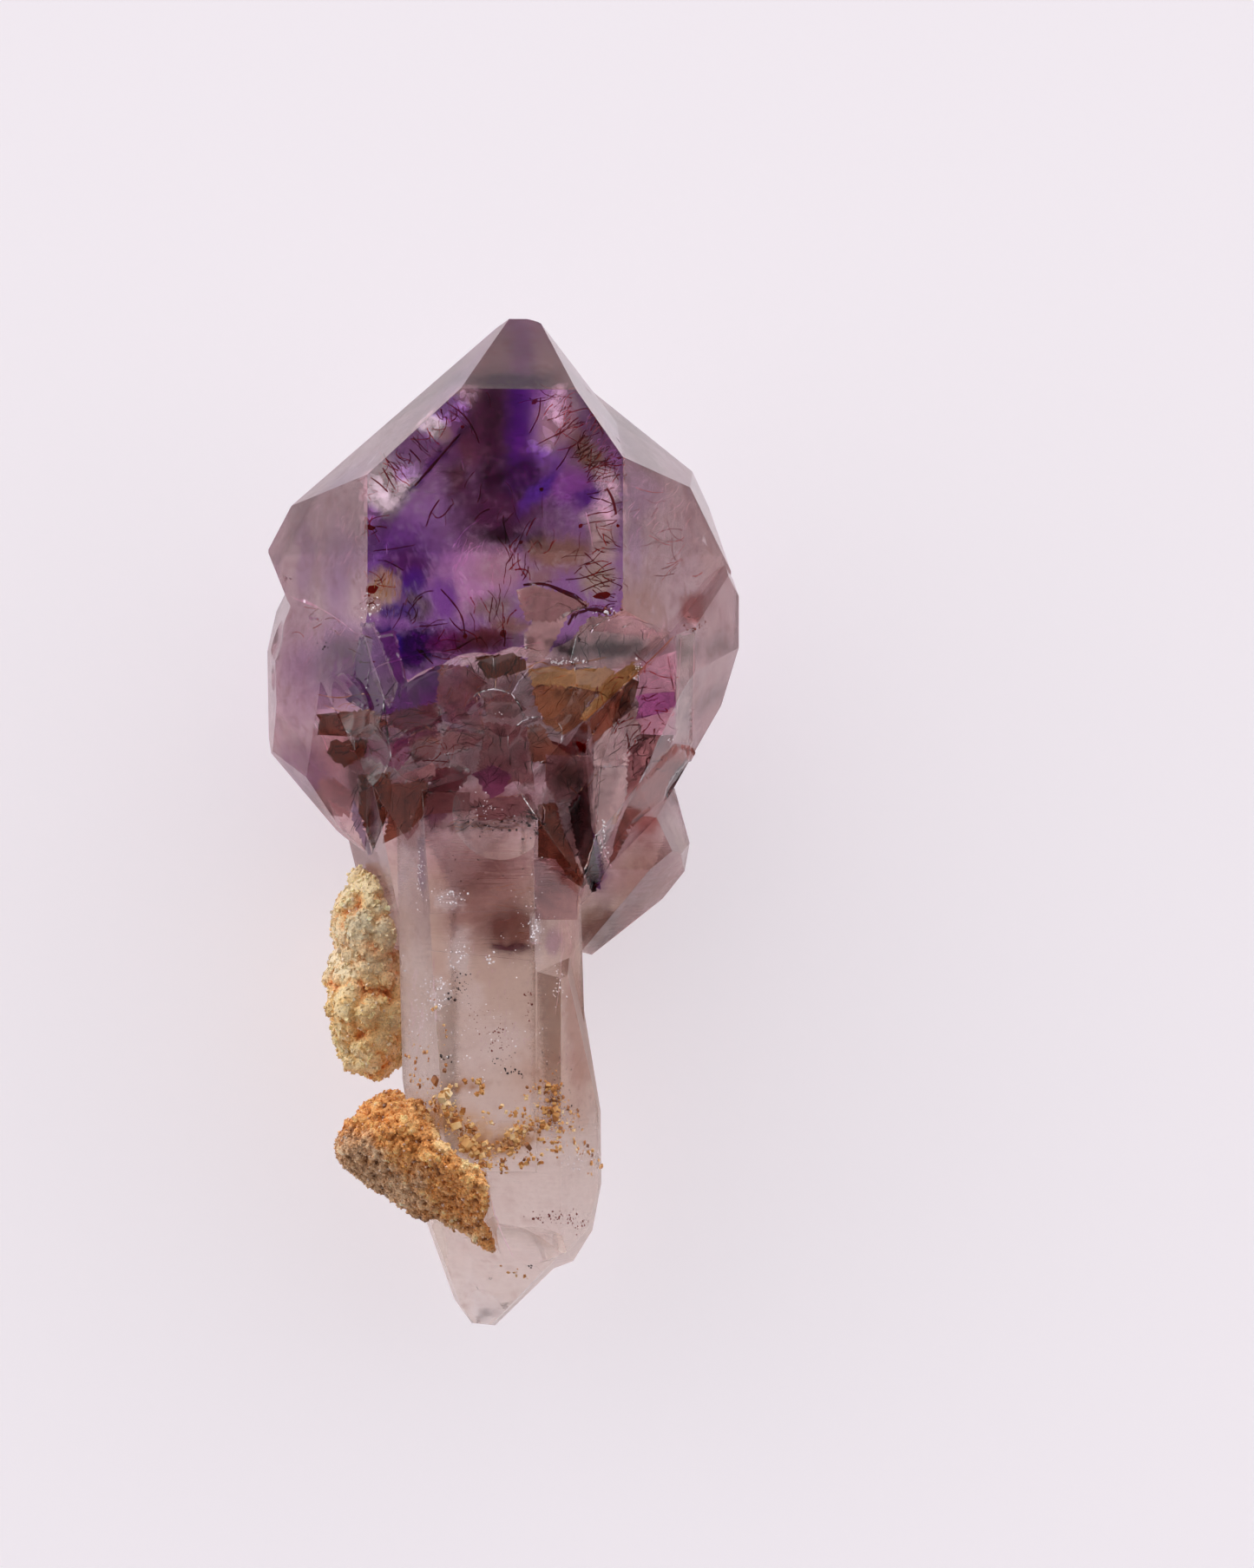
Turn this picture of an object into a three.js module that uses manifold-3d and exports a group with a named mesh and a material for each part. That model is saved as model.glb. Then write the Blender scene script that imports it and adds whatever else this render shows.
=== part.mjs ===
// An amethyst scepter lying on its side: a purple quartz head grown over a pale quartz stem,
// with two lumps of sugary tan crust left on the stem.
// Millimetres. The stem points to -Y, the head's tip to +Y and +Z is up.
// The head lies on one of its prism faces.
import * as THREE from "three";
import { mergeVertices } from "three/addons/utils/BufferGeometryUtils.js";
import Module from "manifold-3d";

const wasm = await Module();
wasm.setup();

// Driving dimensions.
const HEAD_HEIGHT = 24.5; // from the face it lies on to the window, its broad front face
const STEM_FRONT = 18.8; // height of the stem's front face
const STEM_BACK = 6.3; // height of the stem's back face
const CRUST_GAP = 0.3; // hairline between a crust and the quartz that it sits on
const BLOCK = 100; // side of the rough block that each crystal is cut from

// Directions that the faces of a quartz crystal look in. The prism has six faces, 60 degrees apart.
const COS60 = 0.5;
const SIN60 = Math.sqrt(3) / 2;
const FRONT = [0, 0, 1];
const BACK = [0, 0, -1];
const FRONT_LEFT = [-SIN60, 0, COS60];
const FRONT_RIGHT = [SIN60, 0, COS60];
const BACK_LEFT = [-SIN60, 0, -COS60];
const BACK_RIGHT = [SIN60, 0, -COS60];

// A closed three.js geometry as a solid.
function solidOf(geometry) {
  const bare = geometry.clone();
  bare.deleteAttribute("normal");
  bare.deleteAttribute("uv");
  const merged = mergeVertices(bare, 1e-4);
  return new wasm.Manifold(
    new wasm.Mesh({
      numProp: 3,
      vertProperties: new Float32Array(merged.attributes.position.array),
      triVerts: new Uint32Array(merged.index.array),
    }),
  );
}

// The geometry of a solid, with flat facets.
function geometryOf(solid) {
  const { numProp, vertProperties, triVerts } = solid.getMesh();
  const positions = [];
  for (let i = 0; i < vertProperties.length; i += numProp) {
    positions.push(vertProperties[i], vertProperties[i + 1], vertProperties[i + 2]);
  }
  const geometry = new THREE.BufferGeometry();
  geometry.setAttribute("position", new THREE.Float32BufferAttribute(positions, 3));
  geometry.setIndex([...triVerts]);
  const flat = geometry.toNonIndexed();
  flat.computeVertexNormals();
  return flat;
}

// A flat crystal face that goes through a point and looks along a direction.
function face(through, facing) {
  return { through: new THREE.Vector3(...through), facing: new THREE.Vector3(...facing).normalize() };
}

// A flat crystal face through three corners, which run anticlockwise as seen from outside.
function faceAcross(a, b, c) {
  const [p, q, r] = [a, b, c].map((corner) => new THREE.Vector3(...corner));
  const facing = q.clone().sub(p).cross(r.clone().sub(p)).normalize();
  return { through: p, facing };
}

// Everything that lies in front of a face, as a block.
function spaceBeyond({ through, facing }, clearance) {
  const turn = new THREE.Quaternion().setFromUnitVectors(new THREE.Vector3(...FRONT), facing);
  const middle = through.clone().addScaledVector(facing, clearance + BLOCK);
  const placed = new THREE.Matrix4().compose(middle, turn, new THREE.Vector3(1, 1, 1));
  return solidOf(new THREE.BoxGeometry(4 * BLOCK, 4 * BLOCK, 2 * BLOCK).applyMatrix4(placed));
}

// A crystal bounded by flat faces. With a clearance, every face lies that much further out.
function crystal(faces, clearance = 0) {
  const rough = solidOf(new THREE.BoxGeometry(BLOCK, BLOCK, BLOCK));
  return faces.reduce((left, one) => left.subtract(spaceBeyond(one, clearance)), rough);
}

// What lies in front of all the given faces at once. Taking it off a crystal leaves a step.
function notch(faces, clearance = 0) {
  return faces.map((one) => spaceBeyond(one, clearance)).reduce((both, one) => both.intersect(one));
}

function joined(solids) {
  return solids.reduce((all, one) => all.add(one));
}

// The same numbers from 0 to 1 on every run.
function seeded(seed) {
  let state = seed;
  return () => {
    state = (state * 1664525 + 1013904223) % 4294967296;
    return state / 4294967296;
  };
}

// The main crystal of the head, with points at both ends.
const WINDOW_TOP_LEFT = [-2.4, 29.5, HEAD_HEIGHT];
const WINDOW_TOP_RIGHT = [5.5, 29.4, HEAD_HEIGHT];
const WINDOW_LEFT = [-8.8, 23.6, HEAD_HEIGHT];
const WINDOW_RIGHT = [8.7, 24.8, HEAD_HEIGHT];
const WINDOW_FOOT_LEFT = [-6.5, 9.4, HEAD_HEIGHT];
const WINDOW_FOOT_RIGHT = [8.4, 15.6, HEAD_HEIGHT];
const LEFT_SHOULDER = [-15.4, 21.3, 14.1];
const TIP_LEFT = [0.4, 35.1, 18.5];
const TIP_RIGHT = [3.0, 34.4, 18.5];
const LEFT_EDGE = [-16.4, 18.9, 11.4];
const RIGHT_EDGE = [16.4, 15.5, 11.4];
const RIDGE_TOP = [12.3, 12.6, 18.2];
const RIDGE_FOOT = [6.0, 6.8, 18.6];

const WINDOW = face(WINDOW_LEFT, FRONT);
const FOOT_SLOPE = face(WINDOW_FOOT_LEFT, [0.17, -0.58, 0.8]);

// The left flank below the main crystal's shoulder, a little further in than the flank above it.
const LOWER_LEFT_FLANK = face([-15.55, 8.7, 12.6], [-0.85, 0, 0.52]);
const LOWER_LEFT_SLOPE = face([-9.2, 13.3, 24.1], [-0.79, -0.25, 0.55]);

function mainCrystal() {
  const whole = crystal([
    WINDOW,
    face(WINDOW_LEFT, FRONT_LEFT),
    face(WINDOW_RIGHT, FRONT_RIGHT),
    face(LEFT_EDGE, BACK_LEFT),
    face(RIGHT_EDGE, BACK_RIGHT),
    face([0, 0, 0], BACK),
    // the tip
    faceAcross(WINDOW_TOP_LEFT, LEFT_SHOULDER, WINDOW_LEFT),
    faceAcross(WINDOW_TOP_RIGHT, TIP_RIGHT, WINDOW_TOP_LEFT),
    faceAcross(WINDOW_TOP_RIGHT, WINDOW_RIGHT, TIP_RIGHT),
    face(TIP_LEFT, [0, 0.75, -0.66]),
    face(TIP_LEFT, [-0.55, 0.74, -0.38]),
    face(TIP_RIGHT, [0.62, 0.7, -0.36]),
    face([1.4, 34.8, 18.5], [0.21, 0.95, 0.2]),
    // the foot, which slopes in to the stem
    FOOT_SLOPE,
    faceAcross(WINDOW_FOOT_RIGHT, RIDGE_FOOT, RIDGE_TOP),
    face(RIDGE_FOOT, [0.67, -0.71, 0.2]),
    face([-7.65, 11.2, HEAD_HEIGHT], [-0.45, -0.17, 0.88]),
    LOWER_LEFT_SLOPE,
    face([0, -3, 0], [0, -0.75, -0.66]),
    face([-8, 0, 2], [-0.5, -0.7, -0.5]),
    face([8, 0, 2], [0.5, -0.7, -0.5]),
    face([-15.7, 17.2, 12.4], [-0.86, -0.45, -0.1]),
  ]);
  const belowShoulder = notch([LOWER_LEFT_FLANK, face([-9.8, 13.0, 21.3], [-0.4, -0.92, 0])]);
  return whole.subtract(belowShoulder);
}

// The crystals beside it all stand parallel to it, as overgrowths on one stem do.
function rightShoulder() {
  return crystal([
    face(WINDOW_RIGHT, FRONT),
    face(WINDOW_RIGHT, FRONT_RIGHT),
    face(WINDOW_RIGHT, [0.62, 0.76, 0.2]),
    face([14.6, 21.2, 13], [0.92, 0.37, 0.12]),
    face(RIGHT_EDGE, BACK_RIGHT),
    face([13.2, 24.6, 10], [0.45, 0.62, -0.64]),
    face([0, 0, 1], BACK),
    face([6.5, 10, 20], [-1, 0, 0]),
    face(RIDGE_TOP, [0.4, -0.8, 0.45]),
    face([10, 4, 4], [0.3, -0.8, -0.5]),
  ]);
}

function leftLowerCrystal() {
  return crystal([
    LOWER_LEFT_FLANK,
    LOWER_LEFT_SLOPE,
    face([-9, 8, 22.5], FRONT),
    face([-15.6, 8.7, 13], [-0.97, -0.02, 0.22]),
    face([-15.7, 12.7, 12], [-0.94, 0.26, 0.2]),
    face([-17, 5.7, 9.5], [-0.85, 0, -0.52]),
    face([-14.8, 15.6, 12], [-0.45, 0.85, 0.25]),
    face([-14, 15, 8], [-0.1, 0.85, -0.5]),
    face([-16.9, 5.3, 9.5], [-0.74, -0.61, 0.27]),
    face([-12.1, -0.5, 10], [-0.6, -0.75, 0.27]),
    face([-14, 5.9, 15], [-0.2, -0.55, 0.81]),
    face([-16.9, 5.3, 9.5], [-0.6, -0.55, -0.58]),
    face([-9.2, -2.8, 10], [-0.4, -0.6, -0.7]),
    face([-9.2, -2.8, 10], [0.6, -0.75, 0.2]),
    face([-13, 6, 2.5], [-0.5, -0.3, -0.8]),
    face([0, 0, 1.2], BACK),
    face([0, 0, 0], [1, 0, 0]),
  ]);
}

function rightLowerCrystal() {
  return crystal([
    face([12.4, 8, 19], [-0.1, 0, 1]),
    face([12.4, 8, 19], [0.5, 0, 0.87]),
    face([13.7, 8, 18.3], [0.9, 0, 0.43]),
    face([16.8, 8, 11.5], BACK_RIGHT),
    face([16.9, 15.5, 12], [0.92, 0.37, 0.12]),
    face([13.7, 13.2, 18.4], [0, 0.8, 0.6]),
    face([14, 16, 9], [0.1, 0.85, -0.5]),
    face([12.4, 5.5, 19], [0.708, -0.614, 0.347]),
    face([10.2, 3.4, 19], [0.86, -0.41, 0.3]),
    face([14.16, 3.4, 12], [0.6, -0.52, -0.6]),
    face([16.3, 6, 12], [0.93, -0.35, 0.05]),
    face([6.96, 2.6, 19], [-0.93, 0.28, 0.25]),
    face([6.7, -1, 18], [-0.98, 0.06, 0.2]),
    face([6.6, -5.4, 11], [0.3, -0.75, -0.6]),
    face([0, 0, 1.5], BACK),
  ]);
}

function smallLowerCrystal() {
  return crystal([
    face([9, -2, 12.4], [0.12, 0.1, 1]),
    face([12.6, -0.8, 8], [0.87, 0.42, 0.25]),
    face([13.1, -2.9, 8], [0.97, -0.15, 0.15]),
    face([12.9, -3.6, 8], [0.64, -0.69, 0.33]),
    face([9, -4.6, 12], [0.1, -0.5, 0.86]),
    face([12.6, -2.6, 6], [0.75, -0.25, -0.6]),
    face([7, -9, 7], [0.3, -0.65, -0.7]),
    face([6.3, -9.7, 8], [-0.3, -0.94, 0.1]),
    face([3, -5, 8], [-1, 0, 0]),
    face([8, 4, 8], [0, 1, 0]),
    face([8, -2, 4], BACK),
  ]);
}

const TAIL_FRONT = face([-1, -29.6, 14.4], [-0.25, -0.35, 0.9]);
const STEM_BREAK = face([1.5, -29.5, 18], [-0.05, -0.45, 0.89]);
const STEM_RIGHT_END = face([7.2, -21.9, 12], [0.99, 0, 0.12]);

// The crystals of the stem. A crust that sits on the stem is cut by the same faces, a gap further out.
const SHAFT = [
  face([0, 0, STEM_FRONT], FRONT),
  face([-5.1, -0.4, STEM_FRONT], [-SIN60, -0.06, COS60]),
  face([-6.9, -14, 14], [-1, -0.02, 0]),
  face([-6.9, -18.3, 12], [-0.985, -0.155, 0.05]),
  face([-6.7, -14, 12.6], BACK_LEFT),
  face([2.5, -10, STEM_FRONT], FRONT_RIGHT),
  face([5.9, -12, 12.6], [1, 0.03, 0]),
  face([4.7, -3, 14], [0.84, 0.54, 0]),
  face([5.9, -12, 12.4], BACK_RIGHT),
  face([0, 0, STEM_BACK], BACK),
  face([0, 7, 12], [0, 1, 0]),
  face([0, -24.5, STEM_FRONT], [0, -1, 0.3]),
];

// A thinner crystal along the upper left of the shaft.
const SIDE_SHAFT = [
  face([-8, -4, 14.6], [-0.1, -0.1, 1]),
  face([-9.6, -3, 10], [-0.9, -0.2, 0.35]),
  face([-9.2, -8, 8], [-0.8, -0.25, -0.5]),
  face([-7.5, -9.5, 10], [-0.5, -0.8, 0.2]),
  face([0, 3, 10], [0, 1, 0]),
  face([-2, -8, 10], [1, 0, 0]),
  face([-6, -8, 7], BACK),
];

// The wider lower end of the stem, broken off at the bottom.
const SWOLLEN_FOOT = [
  face([2, -20, 18.4], [0.03, 0, 1]),
  face([4.4, -13, 18.3], FRONT_RIGHT),
  face([6.2, -15.6, 12.6], [0.98, 0.18, 0.1]),
  STEM_RIGHT_END,
  face([6.4, -16, 12], [0.83, 0.05, -0.55]),
  face([0, -20, 6.6], BACK),
  face([-2, -20, 12], [-1, 0, 0]),
  face([3, -10.6, 18], [0.25, 0.9, 0.35]),
  face([6.9, -27.1, 12], [0.97, -0.22, 0.1]),
  face([6.3, -29.3, 12], [0.8, -0.58, 0.12]),
  face([4.5, -31.2, 12], [0.25, -0.95, 0.15]),
  face([-0.7, -26.5, 17.5], [-0.95, -0.17, 0.26]),
  face([0.9, -30.9, 16], [-0.8, -0.5, 0.3]),
  STEM_BREAK,
];

// The thin tail that the break left standing at the back.
const TAIL = [
  TAIL_FRONT,
  face([-4.3, -31.1, 10], [-0.93, -0.36, 0.12]),
  face([-5.6, -27, 12.5], [-0.8, 0, 0.6]),
  face([-5.4, -28, 10], [-0.85, -0.1, -0.5]),
  face([2.3, -33.2, 10], [0.7, -0.71, 0.1]),
  face([-1.4, -36, 9], [-0.1, -0.98, 0.1]),
  face([-2.7, -35, 9], [-0.8, -0.58, 0.1]),
  face([-0.4, -33, 6.8], [0, -0.2, -0.97]),
  face([0, -27, 14.6], FRONT),
  face([5, -27, 9], [1, 0, 0]),
  face([0, -22, 12], [0, 1, 0]),
];

// The front of the shaft drops by low ledges towards the broken end.
const STEM_LEDGES = [
  [face([0, 0, STEM_FRONT - 0.12], FRONT), face([0, -6.4, STEM_FRONT], [0.04, -1, 0.3])],
  [face([0, 0, STEM_FRONT - 0.22], FRONT), face([0, -9.6, STEM_FRONT], [-0.1, -1, 0.3])],
];

// Where the lower crust sits, the shaft is broken off on a slant.
const CRUST_SEAT = [
  face([-4, -28.5, 12], [-0.57, -0.37, 0.73]),
  face([-3.4, -23.2, 18], [-0.82, -0.57, 0.1]),
];

function stem(clearance = 0) {
  const whole = crystal(SHAFT, clearance);
  const stepped = STEM_LEDGES.reduce((left, ledge) => left.subtract(notch(ledge)), whole);
  const seated = stepped.subtract(notch(CRUST_SEAT, clearance));
  const others = [SIDE_SHAFT, SWOLLEN_FOOT, TAIL].map((faces) => crystal(faces, clearance));
  return joined([seated, ...others]);
}

// Shell-shaped breaks, as glass has: a ball takes a shallow dish out of a face, tilted a little.
const SHELL_BREAKS = [
  // the broken slope between the window and the stem
  { on: FOOT_SLOPE, x: -4.3, y: 8.5, tilt: [0.1, 0.1, 0], width: 4.6, depth: 0.5 },
  { on: FOOT_SLOPE, x: -1.6, y: 9.3, tilt: [-0.1, 0.2, 0], width: 4.4, depth: 0.6 },
  { on: FOOT_SLOPE, x: 1.3, y: 9.9, tilt: [0, 0.1, 0], width: 4.2, depth: 0.5 },
  { on: FOOT_SLOPE, x: 4.2, y: 9.0, tilt: [-0.2, 0, 0], width: 5.0, depth: 0.8 },
  { on: FOOT_SLOPE, x: -3.1, y: 5.6, tilt: [0.2, -0.1, 0], width: 5.4, depth: 0.7 },
  { on: FOOT_SLOPE, x: 0.2, y: 6.7, tilt: [-0.2, 0.2, 0], width: 4.2, depth: 0.7 },
  { on: FOOT_SLOPE, x: 3.0, y: 5.5, tilt: [0, -0.2, 0], width: 4.8, depth: 0.7 },
  { on: FOOT_SLOPE, x: -5.8, y: 4.4, tilt: [0.3, 0, 0], width: 4.6, depth: 0.7 },
  { on: FOOT_SLOPE, x: -1.0, y: 3.9, tilt: [0, 0.1, 0], width: 4.4, depth: 0.35 },
  { on: FOOT_SLOPE, x: 5.4, y: 6.6, tilt: [0.2, 0, 0], width: 4.2, depth: 0.6 },
  { on: WINDOW, x: 3.4, y: 13.4, tilt: [0.05, -0.2, 0], width: 4.6, depth: 0.45 },
  { on: WINDOW, x: 6.2, y: 13.2, tilt: [0.1, -0.2, 0], width: 4.0, depth: 0.4 },
  { on: WINDOW, x: 2.8, y: 15.0, tilt: [0.1, -0.2, 0], width: 2.0, depth: 0.16 },
  // the broken ground between the left crystals and the stem
  { on: LOWER_LEFT_SLOPE, x: -10.2, y: 7.6, tilt: [0.1, 0.1, 0], width: 4.6, depth: 0.8 },
  { on: LOWER_LEFT_SLOPE, x: -8.6, y: 4.6, tilt: [0.1, -0.1, 0], width: 5.0, depth: 0.9 },
  { on: LOWER_LEFT_SLOPE, x: -11.4, y: 4.8, tilt: [-0.1, 0, 0], width: 3.8, depth: 0.6 },
  { on: LOWER_LEFT_SLOPE, x: -9.4, y: 1.4, tilt: [0.2, -0.2, 0], width: 4.0, depth: 0.7 },
  // chips along the left edge and at the tip
  { on: LOWER_LEFT_FLANK, x: -15.8, y: 13.0, tilt: [-0.3, 0.1, -0.3], width: 4.4, depth: 0.5 },
  { on: LOWER_LEFT_FLANK, x: -16.2, y: 9.8, tilt: [-0.3, 0, -0.3], width: 3.0, depth: 0.4 },
  // the broken end of the stem
  { on: TAIL_FRONT, x: 1.4, y: -32.6, tilt: [0, -0.1, 0], width: 5.0, depth: 0.4 },
  { on: TAIL_FRONT, x: -3.0, y: -31.2, tilt: [-0.2, 0, 0], width: 4.6, depth: 0.3 },
  { on: TAIL_FRONT, x: -1.0, y: -34.4, tilt: [0, -0.1, 0], width: 3.6, depth: 0.25 },
  { on: STEM_BREAK, x: 2.6, y: -30.4, tilt: [0, 0, 0], width: 5.4, depth: 0.5 },
  { on: STEM_RIGHT_END, x: 6.9, y: -24.4, tilt: [0.2, 0.1, 0], width: 1.9, depth: 0.35 },
];

function shellBreak({ on, x, y, tilt, width, depth }) {
  const { through, facing } = on;
  const z = through.z - ((x - through.x) * facing.x + (y - through.y) * facing.y) / facing.z;
  const outward = new THREE.Vector3(...tilt).add(facing).normalize();
  const radius = (width * width) / (8 * depth) + depth / 2;
  const middle = new THREE.Vector3(x, y, z).addScaledVector(outward, radius - depth);
  const ball = new THREE.IcosahedronGeometry(radius, Math.round(1.9 * radius));
  return solidOf(ball.translate(...middle.toArray()));
}

function quartz() {
  const grown = joined([
    mainCrystal(),
    rightShoulder(),
    leftLowerCrystal(),
    rightLowerCrystal(),
    smallLowerCrystal(),
    stem(),
  ]);
  return SHELL_BREAKS.map(shellBreak).reduce((left, bite) => left.subtract(bite), grown);
}

// Crusts: lumpy balls with small crystals fused on, cut by the quartz that they sit on.
function bumpyBall({ middle, radii, turn, bumps, seed }) {
  const ball = new THREE.IcosahedronGeometry(1, 7);
  const at = ball.attributes.position;
  const point = new THREE.Vector3();
  for (let i = 0; i < at.count; i++) {
    point.fromBufferAttribute(at, i).normalize();
    const wave =
      Math.sin(5.1 * point.x + seed) * Math.sin(4.3 * point.y - seed) +
      0.6 * Math.sin(9.7 * point.y + 2 * seed) * Math.sin(8.9 * point.z + seed) +
      0.35 * Math.sin(17 * point.z - seed) * Math.sin(15 * point.x + 3 * seed);
    point.multiplyScalar(1 + bumps * wave);
    at.setXYZ(i, point.x, point.y, point.z);
  }
  return solidOf(ball.scale(...radii).rotateZ(turn).translate(...middle));
}

function fusedGrains(crust, { middle, radii, turn, grains, seed }) {
  const random = seeded(seed * 101);
  const grown = Array.from({ length: grains }, () => {
    const around = 2 * Math.PI * random();
    const up = 2 * random() - 1;
    const level = Math.sqrt(1 - up * up);
    const place = new THREE.Vector3(level * Math.cos(around), level * Math.sin(around), up)
      .multiply(new THREE.Vector3(...radii))
      .applyAxisAngle(new THREE.Vector3(...FRONT), turn)
      .add(new THREE.Vector3(...middle));
    const tilt = new THREE.Euler(Math.PI * random(), Math.PI * random(), 0);
    const placed = new THREE.Matrix4().makeRotationFromEuler(tilt).setPosition(place);
    return solidOf(new THREE.OctahedronGeometry(0.4 + 0.4 * random()).applyMatrix4(placed));
  });
  return joined([crust, ...grown]);
}

const UPPER_CRUST = [
  { middle: [-9.2, -12.9, 8.6], radii: [2.9, 5.2, 4.4], turn: 0.05, bumps: 0.08, seed: 1, grains: 46 },
  { middle: [-8.6, -7.6, 9.6], radii: [3.0, 3.7, 3.8], turn: -0.1, bumps: 0.08, seed: 2, grains: 24 },
];
const LOWER_CRUST = [
  { middle: [-6.5, -23.4, 13.4], radii: [4.7, 4.1, 5.0], turn: 0.2, bumps: 0.06, seed: 3, grains: 40 },
  { middle: [-3.0, -25.9, 14.8], radii: [5.8, 3.7, 4.6], turn: -1.0, bumps: 0.06, seed: 5, grains: 40 },
];
const LOWER_CRUST_CUTS = [
  face([-4.5, -25.6, 17], [-0.384, -0.651, 0.656]),
  face([-8.9, -25.3, 13], [-0.62, -0.72, -0.3]),
  face([-3.3, -28.9, 13], [-0.25, -0.92, -0.3]),
];

function crust(balls, cuts = []) {
  const lump = joined(balls.map((ball) => fusedGrains(bumpyBall(ball), ball)));
  const trimmed = cuts.reduce((left, cut) => left.subtract(spaceBeyond(cut, 0)), lump);
  const clear = trimmed.subtract(stem(CRUST_GAP));
  const biggestFirst = clear.decompose().sort((a, b) => b.volume() - a.volume());
  return biggestFirst[0];
}

const quartzLook = new THREE.MeshStandardMaterial({ color: 0x8a6a92, roughness: 0.12, metalness: 0 });
const crustLook = new THREE.MeshStandardMaterial({ color: 0xb98a4e, roughness: 0.85, metalness: 0 });

function named(name, solid, material) {
  const mesh = new THREE.Mesh(geometryOf(solid), material);
  mesh.name = name;
  return mesh;
}

const scepter = new THREE.Group();
scepter.add(
  named("quartz_scepter", quartz(), quartzLook),
  named("upper_crust", crust(UPPER_CRUST), crustLook),
  named("lower_crust", crust(LOWER_CRUST, LOWER_CRUST_CUTS), crustLook),
);

// The origin is on the surface that the scepter lies on, under the middle of its outline.
const extent = new THREE.Box3().setFromObject(scepter);
const centre = extent.getCenter(new THREE.Vector3());
scepter.position.set(-centre.x, -centre.y, -extent.min.z);

export default scepter;
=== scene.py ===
import math

import bmesh
import bpy
import numpy as np
import openvdb
from mathutils import Matrix, Vector
from mathutils.bvhtree import BVHTree
from mathutils.geometry import delaunay_2d_cdt


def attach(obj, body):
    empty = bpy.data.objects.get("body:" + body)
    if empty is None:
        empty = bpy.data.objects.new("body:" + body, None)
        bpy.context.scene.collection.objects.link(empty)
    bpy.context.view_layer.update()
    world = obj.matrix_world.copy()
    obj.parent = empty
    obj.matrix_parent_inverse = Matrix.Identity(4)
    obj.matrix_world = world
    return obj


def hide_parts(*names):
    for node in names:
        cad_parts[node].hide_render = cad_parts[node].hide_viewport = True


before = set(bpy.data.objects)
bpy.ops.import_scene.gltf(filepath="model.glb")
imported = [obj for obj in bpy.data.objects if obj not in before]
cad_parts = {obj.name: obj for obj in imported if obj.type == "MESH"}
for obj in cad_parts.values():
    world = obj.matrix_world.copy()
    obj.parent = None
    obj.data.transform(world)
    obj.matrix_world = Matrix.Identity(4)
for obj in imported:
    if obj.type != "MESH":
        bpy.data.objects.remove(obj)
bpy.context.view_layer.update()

MM = 0.001
CAMERA_AT = Vector((8.842, 3.140, 430.0)) * MM
FRAME_WIDTH, FRAME_HEIGHT = 1445.0, 1807.0
FRAME_MM = 113.9
PIXELS_A_MM = FRAME_HEIGHT / FRAME_MM
QUARTZ_IOR = 1.544
rng = np.random.default_rng(11)


# Places by pixel

def sight(px, py):
    """Unit direction from the camera through a pixel of the 1445 x 1807 frame."""
    step = FRAME_MM * MM / FRAME_HEIGHT
    x = (px - FRAME_WIDTH / 2) * step
    y = (FRAME_HEIGHT / 2 - py) * step
    return Vector((x, y, -CAMERA_AT.z)).normalized()


def at_height(px, py, z):
    """The point at height z, in mm, that is seen at a pixel. In metres."""
    way = sight(px, py)
    return CAMERA_AT + way * ((z * MM - CAMERA_AT.z) / way.z)


def seen_at(points):
    """Pixels at which an array of points, in mm, is seen, as an array of x and y."""
    scale = PIXELS_A_MM * CAMERA_AT.z / MM / (CAMERA_AT.z / MM - points[:, 2])
    px = FRAME_WIDTH / 2 + (points[:, 0] - CAMERA_AT.x / MM) * scale
    py = FRAME_HEIGHT / 2 - (points[:, 1] - CAMERA_AT.y / MM) * scale
    return np.stack([px, py], axis=1)


def turned(x, y, degrees):
    """Offsets x and y along axes that are turned to the left."""
    c, s = math.cos(math.radians(degrees)), math.sin(math.radians(degrees))
    return x * c + y * s, y * c - x * s


def oval(seen, px, py, wide, high, turn):
    """How far out seen points lie in an oval: 0 at its middle and 1 at its rim. Also across and up in mm."""
    right, above = (seen[:, 0] - px) / PIXELS_A_MM, (py - seen[:, 1]) / PIXELS_A_MM
    across, up = turned(right, above, turn)
    return np.sqrt((across / wide) ** 2 + (up / high) ** 2), across, up


def sides_of(outline):
    """The pairs of neighbouring corners of a closed outline."""
    return zip(outline, outline[1:] + outline[:1])


def inside(seen, outline):
    """Whether each seen point lies within an outline given by its corner pixels."""
    within = np.zeros(len(seen), bool)
    x, y = seen.T
    for (ax, ay), (bx, by) in sides_of(outline):
        if ay != by:
            within ^= ((ay > y) != (by > y)) & (x < (bx - ax) * (y - ay) / (by - ay) + ax)
    return within


# Noise at points, from a lattice of random values

LATTICE_SIZE = 64
LATTICE = np.random.default_rng(5).random((LATTICE_SIZE, LATTICE_SIZE, LATTICE_SIZE))


def noise_at(points, size, shift=0.0):
    """Smooth noise from 0 to 1 at points in mm, with bumps about size mm across."""
    at = points / size + shift
    low = np.floor(at).astype(int)
    part = at - low
    part = part * part * (3 - 2 * part)
    total = 0.0
    for corner in range(8):
        step = np.array([corner & 1, corner >> 1 & 1, corner >> 2 & 1])
        weight = np.prod(np.where(step, part, 1 - part), axis=1)
        i, j, k = ((low + step) % LATTICE_SIZE).T
        total = total + weight * LATTICE[i, j, k]
    return total


def rough_at(points, size, octaves=4, shift=0.0, keep=0.6):
    """Noise of several sizes, from about -1 to 1."""
    total, weight, amount = 0.0, 1.0, 0.0
    for octave in range(octaves):
        total = total + weight * (noise_at(points, size, shift + 7.3 * octave) * 2 - 1)
        amount += weight
        size, weight = size * 0.5, weight * keep
    return total / amount


def between(values, low, high):
    """Soft step from 0 at low to 1 at high."""
    part = np.clip((values - low) / (high - low), 0.0, 1.0)
    return part * part * (3 - 2 * part)


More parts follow.
